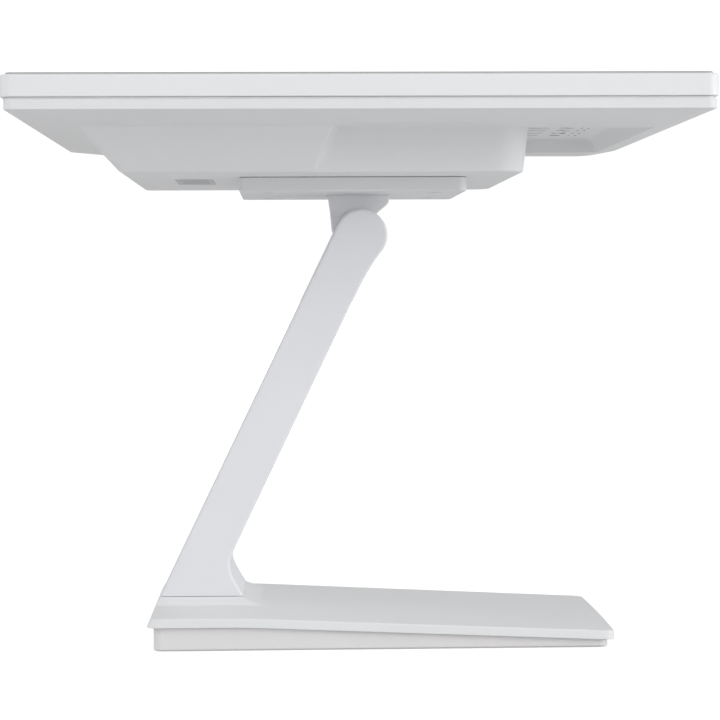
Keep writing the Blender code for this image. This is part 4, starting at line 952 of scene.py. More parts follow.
def port_marks():
    """Plain raised marks on the bay's ceiling, one simple sign in front of each connector."""
    top, bottom = BAY_CEILING_Z + 0.03, BAY_CEILING_Z - 0.18
    y, line = -91.0, 0.6
    shapes = []

    def bar(x0, x1, y0, y1):
        shapes.append(soft_block(x0, x1, y0, y1, bottom, top, 0.12, segments=2))

    def ring_mark(x, r):
        profile = ((r, top), (r, bottom), (r - line, bottom), (r - line, top))
        shapes.append(turned_ring("Z", (x, y), profile, 24))

    def frame_mark(x, y, half, tall, w=line):
        bar(x - half, x + half, y - tall, y - tall + w)
        bar(x - half, x + half, y + tall - w, y + tall)
        bar(x - half, x - half + w, y - tall + w + 0.02, y + tall - w - 0.02)
        bar(x + half - w, x + half, y - tall + w + 0.02, y + tall - w - 0.02)

    # A stalk and an open bracket at every port, and a bar with two dots at those on the +X side.
    for name, x in PORT_X.items():
        half = PORTS[name][0] * 0.36
        bar(x - 0.3, x + 0.3, -82.5, -73.0)
        bar(x - half, x + half, -72.4, -71.8)
        bar(x - half, x - half + line, -71.7, -68.4)
        bar(x + half - line, x + half, -71.7, -68.4)
        if x > 0.0:
            bar(x - half, x + half, -98.2, -97.6)
            for dot_x in (x - half * 0.6, x + half * 0.6):
                bar(dot_x - 0.8, dot_x + 0.8, -101.6, -100.6)
    ring_mark(PORT_X["dc_jack"], 3.0)
    shapes.append(rod("Z", (PORT_X["dc_jack"], y), 1.0, bottom, top, 20))
    x = PORT_X["cash_drawer_port"]
    frame_mark(x, y, 4.4, 3.0)
    bar(x - 1.6, x + 1.6, y - 0.3, y + 0.3)
    for count, first, low in ((5, -6.0, -2.2), (4, -4.5, 1.0)):
        for k in range(count):
            x = PORT_X["serial_port"] + first + 3.0 * k
            bar(x - 0.6, x + 0.6, y + low, y + low + 1.2)
    frame_mark(PORT_X["hdmi_port"], y, 4.6, 2.6)
    for name in ("usb_stack_1", "usb_stack_2"):
        x = PORT_X[name]
        bar(x - 0.3, x + 0.3, y - 3.2, y + 3.2)
        bar(x - 2.6, x - 2.0, y - 0.2, y + 2.0)
        bar(x + 2.0, x + 2.6, y - 1.6, y + 0.6)
    x = PORT_X["lan_port"]
    for dx, dy in ((0.0, 2.2), (-3.0, -2.2), (3.0, -2.2)):
        frame_mark(x + dx, y + dy, 1.5, 1.1, 0.45)
    bar(x - 3.2, x + 3.2, y - 0.25, y + 0.25)
    ring_mark(PORT_X["audio_jack"], 2.6)
    return together(*shapes)


piece("rear_cover_shell", rear_cover(), "head", "cover_plastic", "rear_cover", sharp=26.0)
# The grille is drawn in the darker grey, painted shade for its slots.
piece("vent_grille", vent_grille(), "head", "cover_plastic", materials=[VENT_SHADE_GREY])
piece("port_marks", port_marks(), "head", "cover_plastic", materials=[MARK_GREY])


# ------------------------------------------------------------------ connectors in the bay

def port_body(name, depth, radius):
    x, (w, h) = PORT_X[name], PORTS[name]
    return soft_block(x - w / 2, x + w / 2, PORT_FRONT_Y, PORT_FRONT_Y + depth,
                      PORT_BASE_Z, PORT_BASE_Z + h, radius, "Y", 4)


def connector(name, slot, tongue_material, mouths, tongues):
    """A shell with open mouths, and tongues in them that carry rows of contacts.

    Mouths are (x0, x1, z0, z1) and tongues (x0, x1, z0, z1, contacts, side), from the port's
    middle and foot. Side 1 has the contacts on the tongue's top, -1 on its bottom.
    """
    x, y, z = PORT_X[name], PORT_FRONT_Y, PORT_BASE_Z
    profile = offset(((-0.35, -1.0), (-0.35, 0.0), (-0.12, 0.14), (0.0, 0.4), (0.0, 10.0)), y)
    cuts = [("cut", stepped("Y", (x + x0, x + x1, z + z0, z + z1), 0.3, 4, profile))
            for x0, x1, z0, z1 in mouths]
    parts = [(carved(port_body(name, 15.0, 0.35), cuts), 0)]
    for x0, x1, z0, z1, count, side in tongues:
        parts.append((soft_block(x + x0, x + x1, y + 2.0, y + 9.98, z + z0, z + z1, 0.18, "Y"), 1))
        pitch = (x1 - x0 - 0.8) / count
        low = z + (z0 - 0.12 if side < 0 else z1 - 0.03)
        for k in range(count):
            mid = x + x0 + 0.4 + pitch * (k + 0.5)
            contact = soft_block(mid - pitch * 0.28, mid + pitch * 0.28, y + 2.4, y + 9.0,
                                 low, low + 0.15, 0.04, "Y", 2)
            parts.append((contact, 2))
    piece(f"{name}_detail", parts, "head", slot, name, [MATERIALS[slot], tongue_material, CONTACT])


def serial_connector():
    """A nine-pin connector: a flanged D-shaped shell with pins and two threaded posts."""
    x, y = PORT_X["serial_port"], PORT_FRONT_Y
    z = PORT_BASE_Z + PORTS["serial_port"][1] / 2.0

    def dee(grow, at):
        top, low, tall = 8.3 + grow, 7.0 + grow, 3.9 + grow
        corners = [(x - top, z + tall), (x - low, z - tall), (x + low, z - tall), (x + top, z + tall)]
        return place("Y", rounded(corners, 1.6, 6), y + at)

    mouth = loft([dee(grow, at) for grow, at in
                  ((0.3, -1.0), (0.3, 0.0), (0.1, 0.15), (0.0, 0.4), (0.0, 9.0))])
    core = loft([dee(-0.9, 3.4), dee(-0.75, 3.55), dee(-0.75, 8.98)])
    parts = [(carved(port_body("serial_port", 15.0, 0.4), [("cut", mouth)]), 0), (core, 1)]
    pin = offset(((0.2, 1.0), (0.42, 1.2), (0.5, 1.5), (0.5, 3.6)), y)
    for count, row_z in ((5, 1.42), (4, -1.42)):
        for k in range(count):
            centre = (x + (k - (count - 1) / 2.0) * 2.74, z + row_z)
            parts.append((turned("Y", centre, pin, 14), 2))
    post = offset(((2.1, -0.32), (2.3, -0.15), (2.3, 0.1)), y)
    for post_x in (-12.5, 12.5):
        centre = (x + post_x, z)
        bore = rod("Y", centre, 1.15, y - 1.0, y + 0.05, 18)
        parts.append((carved(turned("Y", centre, post, 6), [("cut", bore)]), 0))
    piece("serial_port_detail", parts, "head", "plated_sheet", "serial_port",
          [PLATED, BLACK, CONTACT])


def round_jack(name, mouth_r, mouth_z, has_pin):
    """A block with a round mouth, a metal sleeve in it and sometimes a centre pin."""
    centre, y = (PORT_X[name], PORT_BASE_Z + mouth_z), PORT_FRONT_Y
    hole = offset(((mouth_r + 0.5, -1.0), (mouth_r + 0.5, 0.0), (mouth_r + 0.15, 0.2),
                   (mouth_r, 0.5), (mouth_r, 9.0)), y)
    inner_r, outer_r = mouth_r - 0.35, mouth_r - 0.02
    sleeve = offset(((inner_r, 0.9), (outer_r, 0.7), (outer_r, 8.9), (inner_r, 8.9)), y)
    parts = [(carved(port_body(name, 14.0, 0.4), [("cut", turned("Y", centre, hole, 36))]), 0),
             (turned_ring("Y", centre, sleeve, 36), 1)]
    if has_pin:
        pin = offset(((0.45, 1.2), (0.85, 1.4), (1.0, 1.9), (1.0, 8.98)), y)
        parts.append((turned("Y", centre, pin, 24), 1))
    piece(f"{name}_detail", parts, "head", "black_plastic", name, [BLACK, PLATED])


connector("cash_drawer_port", "black_plastic", BLACK,
          mouths=[(-4.8, 4.8, 2.0, 9.0), (-2.2, 2.2, 8.0, 10.6)],
          tongues=[(-3.6, 3.6, 2.9, 3.9, 6, 1)])
connector("hdmi_port", "plated_sheet", BLACK,
          mouths=[(-6.6, 6.6, 1.0, 5.2)], tongues=[(-4.8, 4.8, 2.5, 3.7, 10, 1)])
for stack in ("usb_stack_1", "usb_stack_2"):
    connector(stack, "plated_sheet", TONGUE_BLUE,
              mouths=[(-6.0, 6.0, 1.0, 6.6), (-6.0, 6.0, 9.0, 14.6)],
              tongues=[(-5.2, 5.2, 4.2, 5.8, 4, -1), (-5.2, 5.2, 12.2, 13.8, 4, -1)])
connector("lan_port", "plated_sheet", BLACK,
          mouths=[(-5.9, 5.9, 2.0, 9.6), (-2.8, 2.8, 8.6, 11.8)],
          tongues=[(-4.6, 4.6, 2.9, 3.9, 8, 1)])
serial_connector()
round_jack("dc_jack", mouth_r=3.0, mouth_z=6.0, has_pin=True)
round_jack("audio_jack", mouth_r=1.8, mouth_z=3.6, has_pin=False)


# ------------------------------------------------------------------ mount plate, bracket, screws

PLATE_BOTTOM_Z, PLATE_TOP_Z = PLATE[2]
SHAFT_R = (SHAFT[2][1] - SHAFT[2][0]) / 2.0
BRACKET_TOP_Z = 206.0
SLIDE_Y = 80.0  # shrunken outlines draw their level edge's ends towards this Y


def mount_plate():
    """A rounded plate with a raised pad on top, a window for the bracket and four screw holes."""
    low = PLATE_BOTTOM_Z
    profile = low_rim(low, 0.6, 7) + high_rim(PLATE_TOP_Z + 0.1, 0.3, 4)
    window_profile = ((-0.35, 201.0), (-0.35, low), (-0.1, low + 0.15), (0.0, low + 0.4), (0.0, 207.0))
    window_half_x = TONGUE_HALF_X + 0.3
    screw_hole = ((4.45, 201.0), (4.45, low), (4.2, low + 0.12), (4.1, low + 0.35),
                  (4.1, 205.1), (2.3, 205.1), (2.3, 210.0))
    return carved(stepped("Z", (-PLATE[0][1], PLATE[0][1], *PLATE[1]), 4.0, 14, profile), [
        ("add", block(-50.0, 50.0, -34.0, 58.0, PLATE_TOP_Z - 1.4, PLATE_TOP_Z)),
        ("cut", block(-25.3, 25.3, -14.3, 30.3, 205.4, 210.0)),
        ("cut", stepped("Z", (-window_half_x, window_half_x, -6.8, 22.2), 0.4, 4, window_profile)),
        ("cut", together(*(turned("Z", spot, screw_hole, 32) for spot in MOUNT_SCREWS))),
    ])


def socket_screw(spot, z, head_r, head_top, shank_r, socket_r, socket_depth, crown):
    """A screw driven from below, its head domed at the rim, with a hexagon socket. z is its span."""
    low, top = z
    profile = [(head_r * 0.52, low), (head_r * 0.80, low + crown * 0.12),
               (head_r * 0.93, low + crown * 0.42), (head_r, low + crown),
               (head_r, head_top), (shank_r, head_top), (shank_r, top - 0.6), (shank_r - 0.4, top)]
    hexagon = offset(((socket_r + 0.25, -1.0), (socket_r + 0.25, 0.0),
                      (socket_r, 0.2), (socket_r, socket_depth)), low)
    return carved(turned("Z", spot, profile, 30), [("cut", turned("Z", spot, hexagon, 6))])


def shrink(outline, by, level_z):
    """The outline moved inwards. Points on the level edge keep their height."""
    moved = []
    for i, p in enumerate(outline):
        before, here = Vector(outline[i - 1]), Vector(p)
        after = Vector(outline[(i + 1) % len(outline)])
        e1, e2 = (here - before).normalized(), (after - here).normalized()
        if abs(here.y - level_z) < 1e-6:
            side = e2 if abs(e1.y) < 1e-6 else e1
            moved.append((here.x - math.copysign(by / abs(side.y), here.x - SLIDE_Y), here.y))
        else:
            normal = Vector((-(e1 + e2).y, (e1 + e2).x)).normalized()
            across = max(normal.dot(Vector((-e1.y, e1.x))), 0.5)
            q = here + normal * (by / across)
            moved.append((q.x, q.y))
    return moved


def slab(outline, half, radius, segments, level_z):
    """A slab across X with rounded rims, from a (y, z) outline with one level edge."""
    rings = [place("X", shrink(outline, inset, level_z), x)
             for inset, x in low_rim(-half, radius, segments)]
    return loft(rings + [[(-x, y, z) for x, y, z in ring] for ring in reversed(rings)])


def hinge_bracket():
    """A tongue with a round knuckle about the hinge, under a flange."""
    knuckle = [(HINGE_Y + 10.5 * math.cos(math.radians(a)), HINGE_Z + 10.5 * math.sin(math.radians(a)))
               for a in range(-220, -29, 5)]
    outline = [(-6.3, BRACKET_TOP_Z), (-6.08, 199.6), (-5.86, 198.95), (-5.45, 198.23), (-0.5, 194.0)]
    outline += knuckle + [(20.1, 186.6), (21.7, BRACKET_TOP_Z)]
    return carved(slab(outline, TONGUE_HALF_X, 0.6, 5, BRACKET_TOP_Z), [
        ("add", soft_block(-25.0, 25.0, -14.0, 30.0, 205.7, 208.5, 0.3)),
        ("cut", rod("X", HINGE_CENTRE, SHAFT_R + 0.3, -20.0, 20.0, 40)),
    ])


piece("mount_plate_body", mount_plate(), "head", "painted_steel", "mount_plate")
for number, spot in enumerate(MOUNT_SCREWS, 1):
    node = f"mount_screw_{number}"
    screw = socket_screw(spot, span(node)[2], head_r=3.8, head_top=204.8, shank_r=1.95,
                         socket_r=1.5, socket_depth=1.3, crown=0.25)
    piece(f"{node}_detail", screw, "head", "steel", node)
# The bracket takes the lightened paint, painted light against its shade.
piece("hinge_bracket_body", hinge_bracket(), "head", "painted_steel", "hinge_bracket",
      [BRACKET_PAINT_LIFTED])


# ------------------------------------------------------------------ arm

ARM_HEAD_R, ARM_LEAN, ARM_THICK, ARM_EDGE_R = 11.7, math.radians(25.75), 20.9, 1.2
SLOT_HALF_X, SLOT_R = 10.4, 13.7
BUSH_R, BORE_R = 6.5, 6.8
LID_GAP = 0.3
CHANNEL_HALF_X, CHANNEL_DEPTH = LID[0][1] + LID_GAP, 17.0
CHANNEL_START, CHANNEL_END = 22.0, 166.0  # along the arm, down from the hinge

DOWN = Vector((math.sin(ARM_LEAN), -math.cos(ARM_LEAN)))
BACK = Vector((math.cos(ARM_LEAN), math.sin(ARM_LEAN)))
HINGE = Vector(HINGE_CENTRE)


def on_arm(along, out):
    """A (y, z) point: along the arm down from the hinge, and out from its back face."""
    p = HINGE + DOWN * along + BACK * (ARM_HEAD_R + out)
    return (p.x, p.y)


def arm_ring(outline, out):
    """An outline of (x, along) points laid at one distance from the arm's back face."""
    return [(x, *on_arm(along, out)) for x, along in outline]


def back_y(z):
    """Y of the arm's back face at a height."""
    along = (HINGE_Z + BACK.y * ARM_HEAD_R - z) / math.cos(ARM_LEAN)
    return HINGE_Y + BACK.x * ARM_HEAD_R + along * math.sin(ARM_LEAN)


def arm_outline():
    """The side view: up the back, over the round head, down the front and out to the foot."""
    points = [(back_y(ARM_FOOT_Z), ARM_FOOT_Z)]
    points += [on_arm(along, 0.0) for along in (150.0, 100.0, 50.0, 22.0)]
    first, last, steps = math.degrees(ARM_LEAN), 220.0, 60
    for k in range(steps + 1):
        a = math.radians(first + (last - first) * k / steps)
        points.append((HINGE_Y + ARM_HEAD_R * math.cos(a), HINGE_Z + ARM_HEAD_R * math.sin(a)))
    neck_start, neck_end = points[-1], on_arm(33.0, -ARM_THICK)
    a = math.radians(last)
    leave = Vector((-math.sin(a), math.cos(a)))
    points += bezier(neck_start, Vector(neck_start) + leave * 9.0,
                     Vector(neck_end) - DOWN * 9.0, neck_end, 20)
    points += [neck_end, on_arm(70.0, -ARM_THICK), on_arm(110.0, -ARM_THICK)]
    flare_start, foot = on_arm(154.0, -ARM_THICK), (PEDESTAL_FRONT_Y, ARM_FOOT_Z)
    meet = Vector((-0.50, -0.866))
    points.append(flare_start)
    points += bezier(flare_start, Vector(flare_start) + DOWN * 9.5,
                     Vector(foot) - meet * 9.5, foot, 26)
    points.append(foot)
    return points


def channel():
    """The hollow in the arm's back, its lower inner corner sloped and its mouth flared."""
    rows = (  # out, end along the arm, growth
        (-CHANNEL_DEPTH, CHANNEL_END - 12.0, 0.0), (-CHANNEL_DEPTH + 7.0, CHANNEL_END, 0.0),
        (-0.35, CHANNEL_END, 0.0), (0.0, CHANNEL_END, 0.35), (3.0, CHANNEL_END, 0.35))
    return loft([arm_ring(rect(-CHANNEL_HALF_X - grow, CHANNEL_HALF_X + grow,
                               CHANNEL_START - grow, end + grow), out)
                 for out, end, grow in rows])


def arm_casting():
    flared_bore = ((BORE_R, 9.0), (BORE_R, ARM_HALF_X - 0.35),
                   (BORE_R + 0.35, ARM_HALF_X + 0.001), (BORE_R + 0.35, 40.0))
    bores = together(rod("X", HINGE_CENTRE, BORE_R, -31.4, -9.0, 40),
                     turned("X", HINGE_CENTRE, flared_bore, 48))
    return carved(slab(arm_outline(), ARM_HALF_X, ARM_EDGE_R, 7, ARM_FOOT_Z), [
        ("cut", rod("X", HINGE_CENTRE, SLOT_R, -SLOT_HALF_X, SLOT_HALF_X, 72)),
        ("cut", bores),
        ("cut", channel()),
        ("cut", together(*(rod("Z", spot, 2.8, 18.0, 30.5, 24) for spot in ARM_BOLTS))),
    ])


def lid_ring(inset, out):
    x = CHANNEL_HALF_X - LID_GAP - inset
    corners = rect(-x, x, CHANNEL_START + LID_GAP + inset, CHANNEL_END - LID_GAP - inset)
    return arm_ring(rounded(corners, 0.6 - inset, 5), out)


def exit_ring(grow, out):
    corners = rect(-9.0 - grow, 9.0 + grow, CHANNEL_END - 8.0 - grow, CHANNEL_END + 2.0)
    return arm_ring(rounded(corners, 2.0, 8), out)


def arm_lid():
    """The lid over the channel, with clips inside and a cable notch at its lower end."""
    lid = loft([lid_ring(0.0, -2.5)] + [lid_ring(i, out) for i, out in high_rim(0.0, 0.4, 5)])
    clips = together(*(
        prism("X", [on_arm(u, -2.0), on_arm(u, -9.0), on_arm(u + 12.0, -9.0), on_arm(u + 12.0, -2.0)],
              x, x + 1.6)
        for u in (40.0, 92.0, 140.0) for x in (-28.0, 26.4)))
    notch = loft([exit_ring(grow, out) for grow, out in
                  ((0.5, 1.0), (0.5, 0.0), (0.15, -0.2), (0.0, -0.5), (0.0, -4.0))])
    return carved(lid, [("add", clips), ("cut", notch)])


def hinge_cap():
    """A disc with two small holes in its outer face."""
    inner, outer = span("hinge_cap")[0]
    profile = [(BUSH_R, inner)] + [(BUSH_R - i, x) for i, x in high_rim(outer, 0.4, 5)]
    holes = together(*(
        rod("X", (HINGE_Y + 3.6 * math.cos(a), HINGE_Z + 3.6 * math.sin(a)), 0.75,
            outer - 0.5, outer + 1.0, 16)
        for a in (0.0, math.pi)))
    return carved(turned("X", HINGE_CENTRE, profile, 48), [("cut", holes)])


piece("arm_casting", arm_casting(), "stand", "painted_casting", "arm", sharp=24.0)
piece("arm_back_lid", arm_lid(), "stand", "arm_plastic", "arm_rear_cover", sharp=24.0)
piece("hinge_cap_disc", hinge_cap(), "stand", "arm_plastic", "hinge_cap", sharp=40.0)


# ------------------------------------------------------------------ base

BASE_REAR_HALF_X, BASE_FRONT_HALF_X, BASE_CORNER_R = 75.5, 70.5, 5.0
LIP_REAR_Z, LIP_FRONT_Z, LIP_BREAK_Y, LIP_BREAK_REACH, LIP_THICK = 14.7, 7.7, 61.0, 9.0, 4.1
CROWN_HEIGHT = (0.6, 3.0)  # at the front, at the rear
COVER_SKIN = 2.6
OUTLINE_Z = 12.0  # height at which the base's plan is drawn
LONGEST_EDGE = 6.0
PEDESTAL_TOP_Z, PEDESTAL_FOOT_Z, PEDESTAL_SPREAD = ARM_FOOT_Z - 0.2, 15.2, 2.07
TRAY_INSET, TRAY_REAR_Y, TRAY_CORNER_R, TRAY_WALL = 3.0, 103.6, 4.0, 2.6
TRAY_BOTTOM_Z, TRAY_FLOOR_Z = TRAY[2][0] - 0.1, 3.6
BASE_SCREWS = ((-60.0, 84.0), (60.0, 84.0), (-56.0, -86.0), (56.0, -86.0))
FEET = ((-60.0, 64.0), (60.0, 64.0), (-56.0, -66.0), (56.0, -66.0))
FOOT_R = (span("rubber_foot_1")[0][1] - span("rubber_foot_1")[0][0]) / 2.0


def lip_top(y):
    """The lip's top edge: level at the back, then falling evenly to the front, softly broken."""
    fall = (LIP_REAR_Z - LIP_FRONT_Z) / (LIP_BREAK_Y + BASE_HALF_Y)
    t = LIP_BREAK_Y - y
    if t <= -LIP_BREAK_REACH:
        return LIP_REAR_Z
    if t < LIP_BREAK_REACH:
        return LIP_REAR_Z - fall * (t + LIP_BREAK_REACH) ** 2 / (4.0 * LIP_BREAK_REACH)
    return LIP_REAR_Z - t * fall


def half_width(y):
    return between((BASE_FRONT_HALF_X, BASE_REAR_HALF_X), (y + BASE_HALF_Y) / (2.0 * BASE_HALF_Y))


def top_z(x, y):
    """The crowned top: highest along the middle, down to the lip at the sides."""
    t = min(max((y + BASE_HALF_Y) / 160.0, 0.0), 1.0)
    crown = between(CROWN_HEIGHT, t * t * (3.0 - 2.0 * t))
    s = min(abs(x) / half_width(y), 1.0)
    return lip_top(y) + crown * (1.0 - s * s)


def plan(rear_y, inset, radius):
    """The base's outline from above, widening to the rear."""
    front, rear = -BASE_HALF_Y + inset, rear_y - inset
    front_x, rear_x = half_width(front) - inset, half_width(rear) - inset
    corners = [(-front_x, front), (front_x, front), (rear_x, rear), (-rear_x, rear)]
    return divided(rounded(corners, radius, 12), LONGEST_EDGE)


def base_outline(height, inset):
    """The plan lifted to height(x, y). The back edge leans with the arm."""
    outline = []
    for x, y in plan(back_y(OUTLINE_Z), inset, BASE_CORNER_R - inset):
        z = height(x, y)
        share = min(max((y + BASE_HALF_Y) / (2.0 * BASE_HALF_Y), 0.0), 1.0) ** 6
        outline.append((x, y + (back_y(z) - back_y(OUTLINE_Z)) * share, z))
    return outline


def base_body():
    """Rounded bottom rim, upright lip, rounded top rim, then the crowned top up to its middle."""
    rings = [base_outline(lambda x, y: lip_top(y) - LIP_THICK + rise, inset)
             for inset, rise in low_rim(0.0, 0.35, 4)]
    rings += [base_outline(lambda x, y: top_z(x, y) + rise, inset)
              for inset, rise in high_rim(0.0, 0.7, 6)]
    edge = rings[-1]
    middle_y = sum(p[1] for p in edge) / len(edge)
    for k in range(1, 15):
        f = 1.0 - k / 15.0
        drawn_in = [(x * f, (y - middle_y) * (0.12 + 0.88 * f) + middle_y) for x, y, _ in edge]
        rings.append([(x, y, top_z(x, y)) for x, y in drawn_in])
    return loft(rings)


def pedestal_corners(z, out, fair):
    """The seat's outline: soft corners in front, nearly square ones at the back."""
    x, front, rear = ARM_HALF_X + out, PEDESTAL_FRONT_Y - out - fair, back_y(z) - 0.03
    corners = rect(-x, x, front, rear)
    front_part = rounded(corners, 0.8 + out * 0.45, 10)[:22]
    rear_part = rounded(corners, 0.05, 10)[22:]
    return place("Z", front_part + rear_part, z)


def pedestal():
    """The arm's seat: a low chamfered step, its upper rim rounded, its front faired into the top."""
    drop = PEDESTAL_TOP_Z - PEDESTAL_FOOT_Z
    spread = drop * PEDESTAL_SPREAD
    rows = [(13.0, spread + 1.2, 7.2), (PEDESTAL_FOOT_Z, spread, 6.0)]  # z, out, fairing
    for share in (0.87, 0.75, 0.62, 0.5, 0.38, 0.25, 0.14):
        rows.append((PEDESTAL_TOP_Z - drop * share, drop * share * PEDESTAL_SPREAD,
                     6.0 * share ** 2.4))
    for down, out in ((0.30, 0.62), (0.12, 0.30), (0.03, 0.08), (0.0, -0.15)):
        rows.append((PEDESTAL_TOP_Z - down, out, 0.0))
    return loft([pedestal_corners(*row) for row in rows])


def pocket():
    """The hollow under the top skin."""
    rings, across = [], 16
    for y in (-97.0 + 193.0 * k / 24.0 for k in range(25)):
        w = half_width(y) - 5.5
        xs = [w * (1.0 - 2.0 * k / across) for k in range(across + 1)]
        top = [(x, top_z(x, y) - COVER_SKIN) for x in xs]
        rings.append(place("Y", [(-w, -2.0), (w, -2.0)] + top, y))
    return loft(rings)


def base_top():
    bosses = together(*(rod("Z", (x, y), 3.4, 3.9, top_z(x, y) - 1.4, 24) for x, y in BASE_SCREWS))
    pilots = together(
        *(rod("Z", (x, y), 1.7, 3.0, top_z(x, y) - 2.4, 18) for x, y in BASE_SCREWS),
        *(rod("Z", spot, 2.9, 9.0, 24.0, 24) for spot in ARM_BOLTS))
    return carved(base_body(), [
        ("add", pedestal()),
        ("cut", pocket()),
        ("add", block(-38.0, 38.0, 60.0, 95.2, 11.6, 15.9)),
        ("add", bosses),
        ("cut", pilots),
    ])


def under_lip(y):
    return lip_top(y) - LIP_THICK - 0.3


def tray_ring(height, inset):
    outline = plan(TRAY_REAR_Y, TRAY_INSET + inset, TRAY_CORNER_R - inset)
    return [(x, y, height(y)) for x, y in outline]


def frame_grooves():
    """Two shallow grooves that frame the tray's underside."""
    sides, top = (-66.0, 66.0, -96.0, 96.0), TRAY_BOTTOM_Z + 0.45
    return together(*(
        hoop([rect_ring("Z", sides, inset + more, radius, 10, z) for more, radius, z in
              ((0.0, 7.0, -1.0), (1.0, 6.0, -1.0), (1.0, 6.0, top), (0.0, 7.0, top))])
        for inset in (10.0, 13.5)))


def base_tray():
    rings = [tray_ring(lambda y: z, inset) for inset, z in low_rim(TRAY_BOTTOM_Z, 0.8, 7)]
    rings += [tray_ring(lambda y: under_lip(y) - 0.15, 0.0), tray_ring(under_lip, 0.15),
              tray_ring(under_lip, TRAY_WALL), tray_ring(lambda y: TRAY_FLOOR_Z, TRAY_WALL)]
    low = TRAY_BOTTOM_Z
    foot_pocket = ((FOOT_R + 0.6, -1.0), (FOOT_R + 0.6, low), (FOOT_R + 0.3, low + 0.3),
                   (FOOT_R + 0.3, 2.0))
    screw_hole = ((3.7, -1.0), (3.7, low), (3.4, low + 0.3), (3.4, 2.4), (1.7, 2.4), (1.7, 5.0))
    return carved(loft(rings), [
        ("cut", together(*(turned("Z", spot, foot_pocket, 48) for spot in FEET))),
        ("cut", together(*(turned("Z", spot, screw_hole, 32) for spot in BASE_SCREWS))),
        ("cut", frame_grooves()),
    ])


def rubber_foot(spot, top):
    """A pad with a shallow round recess below, filled with small dots."""
    profile = [(FOOT_R - 2.6, 0.45), (FOOT_R - 2.2, 0.42), (FOOT_R - 2.05, 0.1), (FOOT_R - 1.9, 0.0)]
    profile += [(FOOT_R - i, z) for i, z in low_rim(0.0, 0.6, 5)] + [(FOOT_R, top)]
    centres = [centre for r, count in ((0.0, 1), (2.2, 6), (4.2, 12))
               for centre in circle(spot, r, count)]
    dots = (turned("Z", centre, ((0.25, 0.02), (0.5, 0.1), (0.6, 0.46)), 12) for centre in centres)
    return together(turned("Z", spot, profile, 48), *dots)


piece("base_top_shell", base_top(), "stand", "base_plastic", "base_top_cover", sharp=22.0)
piece("base_tray_shell", base_tray(), "stand", "tray_plastic", "base_tray", sharp=24.0)
for number, spot in enumerate(FEET, 1):
    node = f"rubber_foot_{number}"
    piece(f"{node}_pad", rubber_foot(spot, span(node)[2][1]), "stand", "rubber", node, sharp=40.0)
for number, spot in enumerate(BASE_SCREWS, 1):
    node = f"base_screw_{number}"
    screw = socket_screw(spot, span(node)[2], head_r=3.0, head_top=2.1, shank_r=1.3,
                         socket_r=1.0, socket_depth=0.7, crown=0.2)
    piece(f"{node}_detail", screw, "stand", "steel", node)


# ------------------------------------------------------------------ nodes carried over from the part

SLOT_OF = {  # every other node is steel
    "lcd_panel": "panel", "chassis_plate": "plated_sheet", "cpu_heatsink": "heatsink",
    "mainboard": "circuit_board", "ram_module": "circuit_board", "ssd_module": "circuit_board",
    "touch_controller_board": "circuit_board", "button_board": "circuit_board",
    "display_ribbon": "ribbon", "speaker_left": "black_plastic", "speaker_right": "black_plastic",
    "hinge_bush_left": "bronze", "hinge_bush_right": "bronze",
}
for name, obj in frame["nodes"].items():
    if obj.hide_render:
        continue
    look = MATERIALS[SLOT_OF.get(name, "steel")]
    for material_slot in obj.material_slots:
        material_slot.material = look
    if not obj.material_slots:
        obj.data.materials.append(look)


# ------------------------------------------------------------------ stage, light and camera

FLOOR_HALF = 30.0
FLOOR_BOUNCE, FLOOR_SEEN = (0.80,) * 3, (0.95,) * 3  # colour to light rays, and to the camera
FLOOR_GLOW = (0.42, 1.02)  # emission that the camera sees, near the object and far from it
SKY_LIGHT, SKY_SEEN = (0.60, 0.60), 1.05  # strength from level to high, and to the camera
SKY_GLOSS = (0.72, 0.10)  # strength in reflections, low and high
AIM = (0.0, 0.0, 0.13)
SOFTBOXES = (  # name, place, width and height, watts, colour
    ("key_side", (-2.6, -0.2, 1.4), (2.4, 1.6), 17.9, (0.965, 0.982, 1.0)),
    ("front_low", (-0.9, -2.6, 0.5), (1.8, 0.9), 20.4, (0.970, 0.985, 1.0)),
    ("front_high", (-0.6, -2.6, 1.4), (2.0, 1.4), 4.8, (1.0, 1.0, 1.0)),
    ("rear_high", (-0.6, 2.6, 1.4), (2.0, 1.4), 13.1, (1.0, 1.0, 1.0)),
)
CAMERA_PLACE = (-1.305, 0.0305, 0.160)
CAMERA_PAN, CAMERA_TILT, CAMERA_ROLL = map(math.radians, (1.513, 1.482, 0.22))


def stage_floor():
    """A wide pale floor. The camera sees it a little brighter than it lights the object."""
    mesh = bpy.data.meshes.new("floor")
    corners = rect(-FLOOR_HALF, FLOOR_HALF, -FLOOR_HALF, FLOOR_HALF)
    mesh.from_pydata(place("Z", corners, 0.0), [], [(0, 1, 2, 3)])
    obj = add_object("floor", mesh)
    g = material_graph("floor_pale")
    seen = g.node("ShaderNodeLightPath").outputs["Is Camera Ray"]
    fine = g.remap(g.noise(scale=900.0), within=(0.3, 0.7), to=(0.990, 1.0))
    distance = g.node("ShaderNodeVectorMath", operation="LENGTH")
    g.plug(distance.inputs[0], g.place)
    glow = g.remap(distance.outputs["Value"], within=(0.4, 3.0), to=FLOOR_GLOW)
    mesh.materials.append(g.finish(
        Base_Color=g.mix(seen, FLOOR_BOUNCE, FLOOR_SEEN), Roughness=g.math("MULTIPLY", fine, 0.9),
        Specular_IOR_Level=0.0, Emission_Color=(1.0, 1.0, 1.0),
        Emission_Strength=g.math("MULTIPLY", seen, glow)))


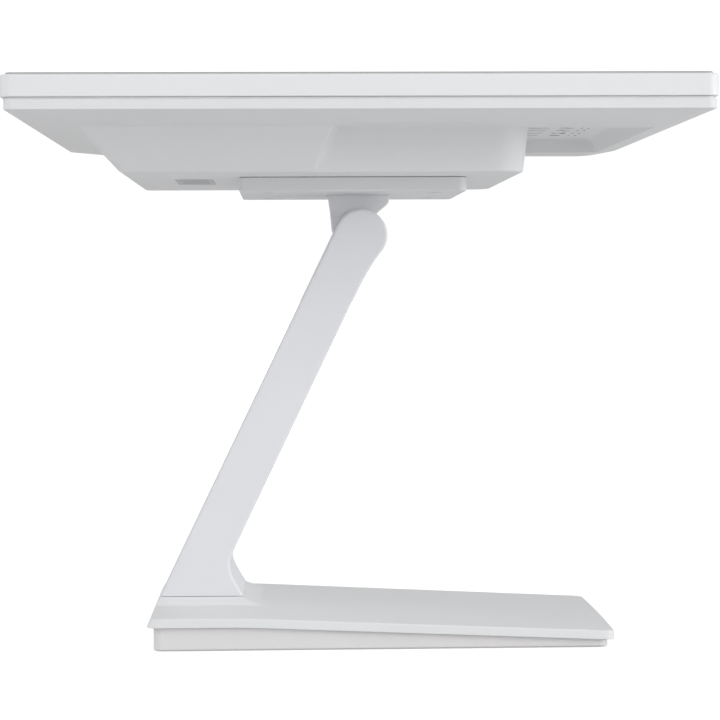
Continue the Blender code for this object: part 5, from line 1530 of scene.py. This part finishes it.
def world_light():
    """White light, with strengths of its own for the camera and for reflections."""
    world = bpy.data.worlds.new("studio")
    scene.world = world
    g = Graph(world, "Generated")
    height = g.axis("Z")
    path = g.node("ShaderNodeLightPath")
    light = g.remap(height, within=(0.0, 0.9), to=SKY_LIGHT)
    gloss = g.remap(height, within=(0.05, 0.80), to=SKY_GLOSS)
    strength = g.blend(path.outputs["Is Camera Ray"], light, SKY_SEEN)
    strength = g.blend(path.outputs["Is Glossy Ray"], strength, gloss)
    background = g.tree.nodes["Background"]
    g.plug(background.inputs["Color"], (1.0, 1.0, 1.0))
    g.plug(background.inputs["Strength"], strength)


def softbox(name, at, size, power, colour):
    lamp = bpy.data.lights.new(name, "AREA")
    lamp.shape = "RECTANGLE"
    lamp.size, lamp.size_y = size
    lamp.energy = power
    lamp.color = colour
    obj = add_object(name, lamp)
    obj.location = at
    obj.rotation_mode = "QUATERNION"
    obj.rotation_quaternion = (Vector(AIM) - Vector(at)).to_track_quat("-Z", "Y")


def add_camera():
    """Looks along +X, panned a little to the front, tilted down and rolled."""
    data = bpy.data.cameras.new("camera")
    camera = add_object("camera", data)
    data.sensor_width = 36.0
    data.lens = 140.25
    data.clip_start, data.clip_end = 0.01, 100.0
    pan = Matrix.Rotation(-CAMERA_PAN, 3, "Z")
    ahead, right = pan @ Vector((1.0, 0.0, 0.0)), pan @ Vector((0.0, -1.0, 0.0))
    tilt = Matrix.Rotation(-CAMERA_TILT, 3, right)
    ahead, up = tilt @ ahead, tilt @ Vector((0.0, 0.0, 1.0))
    roll = Matrix.Rotation(CAMERA_ROLL, 3, ahead)
    right, up = roll @ right, roll @ up
    turn = Matrix((right, up, -ahead)).transposed().to_4x4()
    camera.matrix_world = Matrix.Translation(CAMERA_PLACE) @ turn
    scene.camera = camera


scene = bpy.context.scene
for stray in [o for o in scene.objects if o.type in {"LIGHT", "CAMERA"} or o.name == "Cube"]:
    bpy.data.objects.remove(stray)
stage_floor()
world_light()
for row in SOFTBOXES:
    softbox(*row)
add_camera()
scene.view_settings.view_transform = "Standard"
scene.view_settings.look = "None"

# ------------------------------------------------------------------ view layer update

bpy.context.view_layer.update()
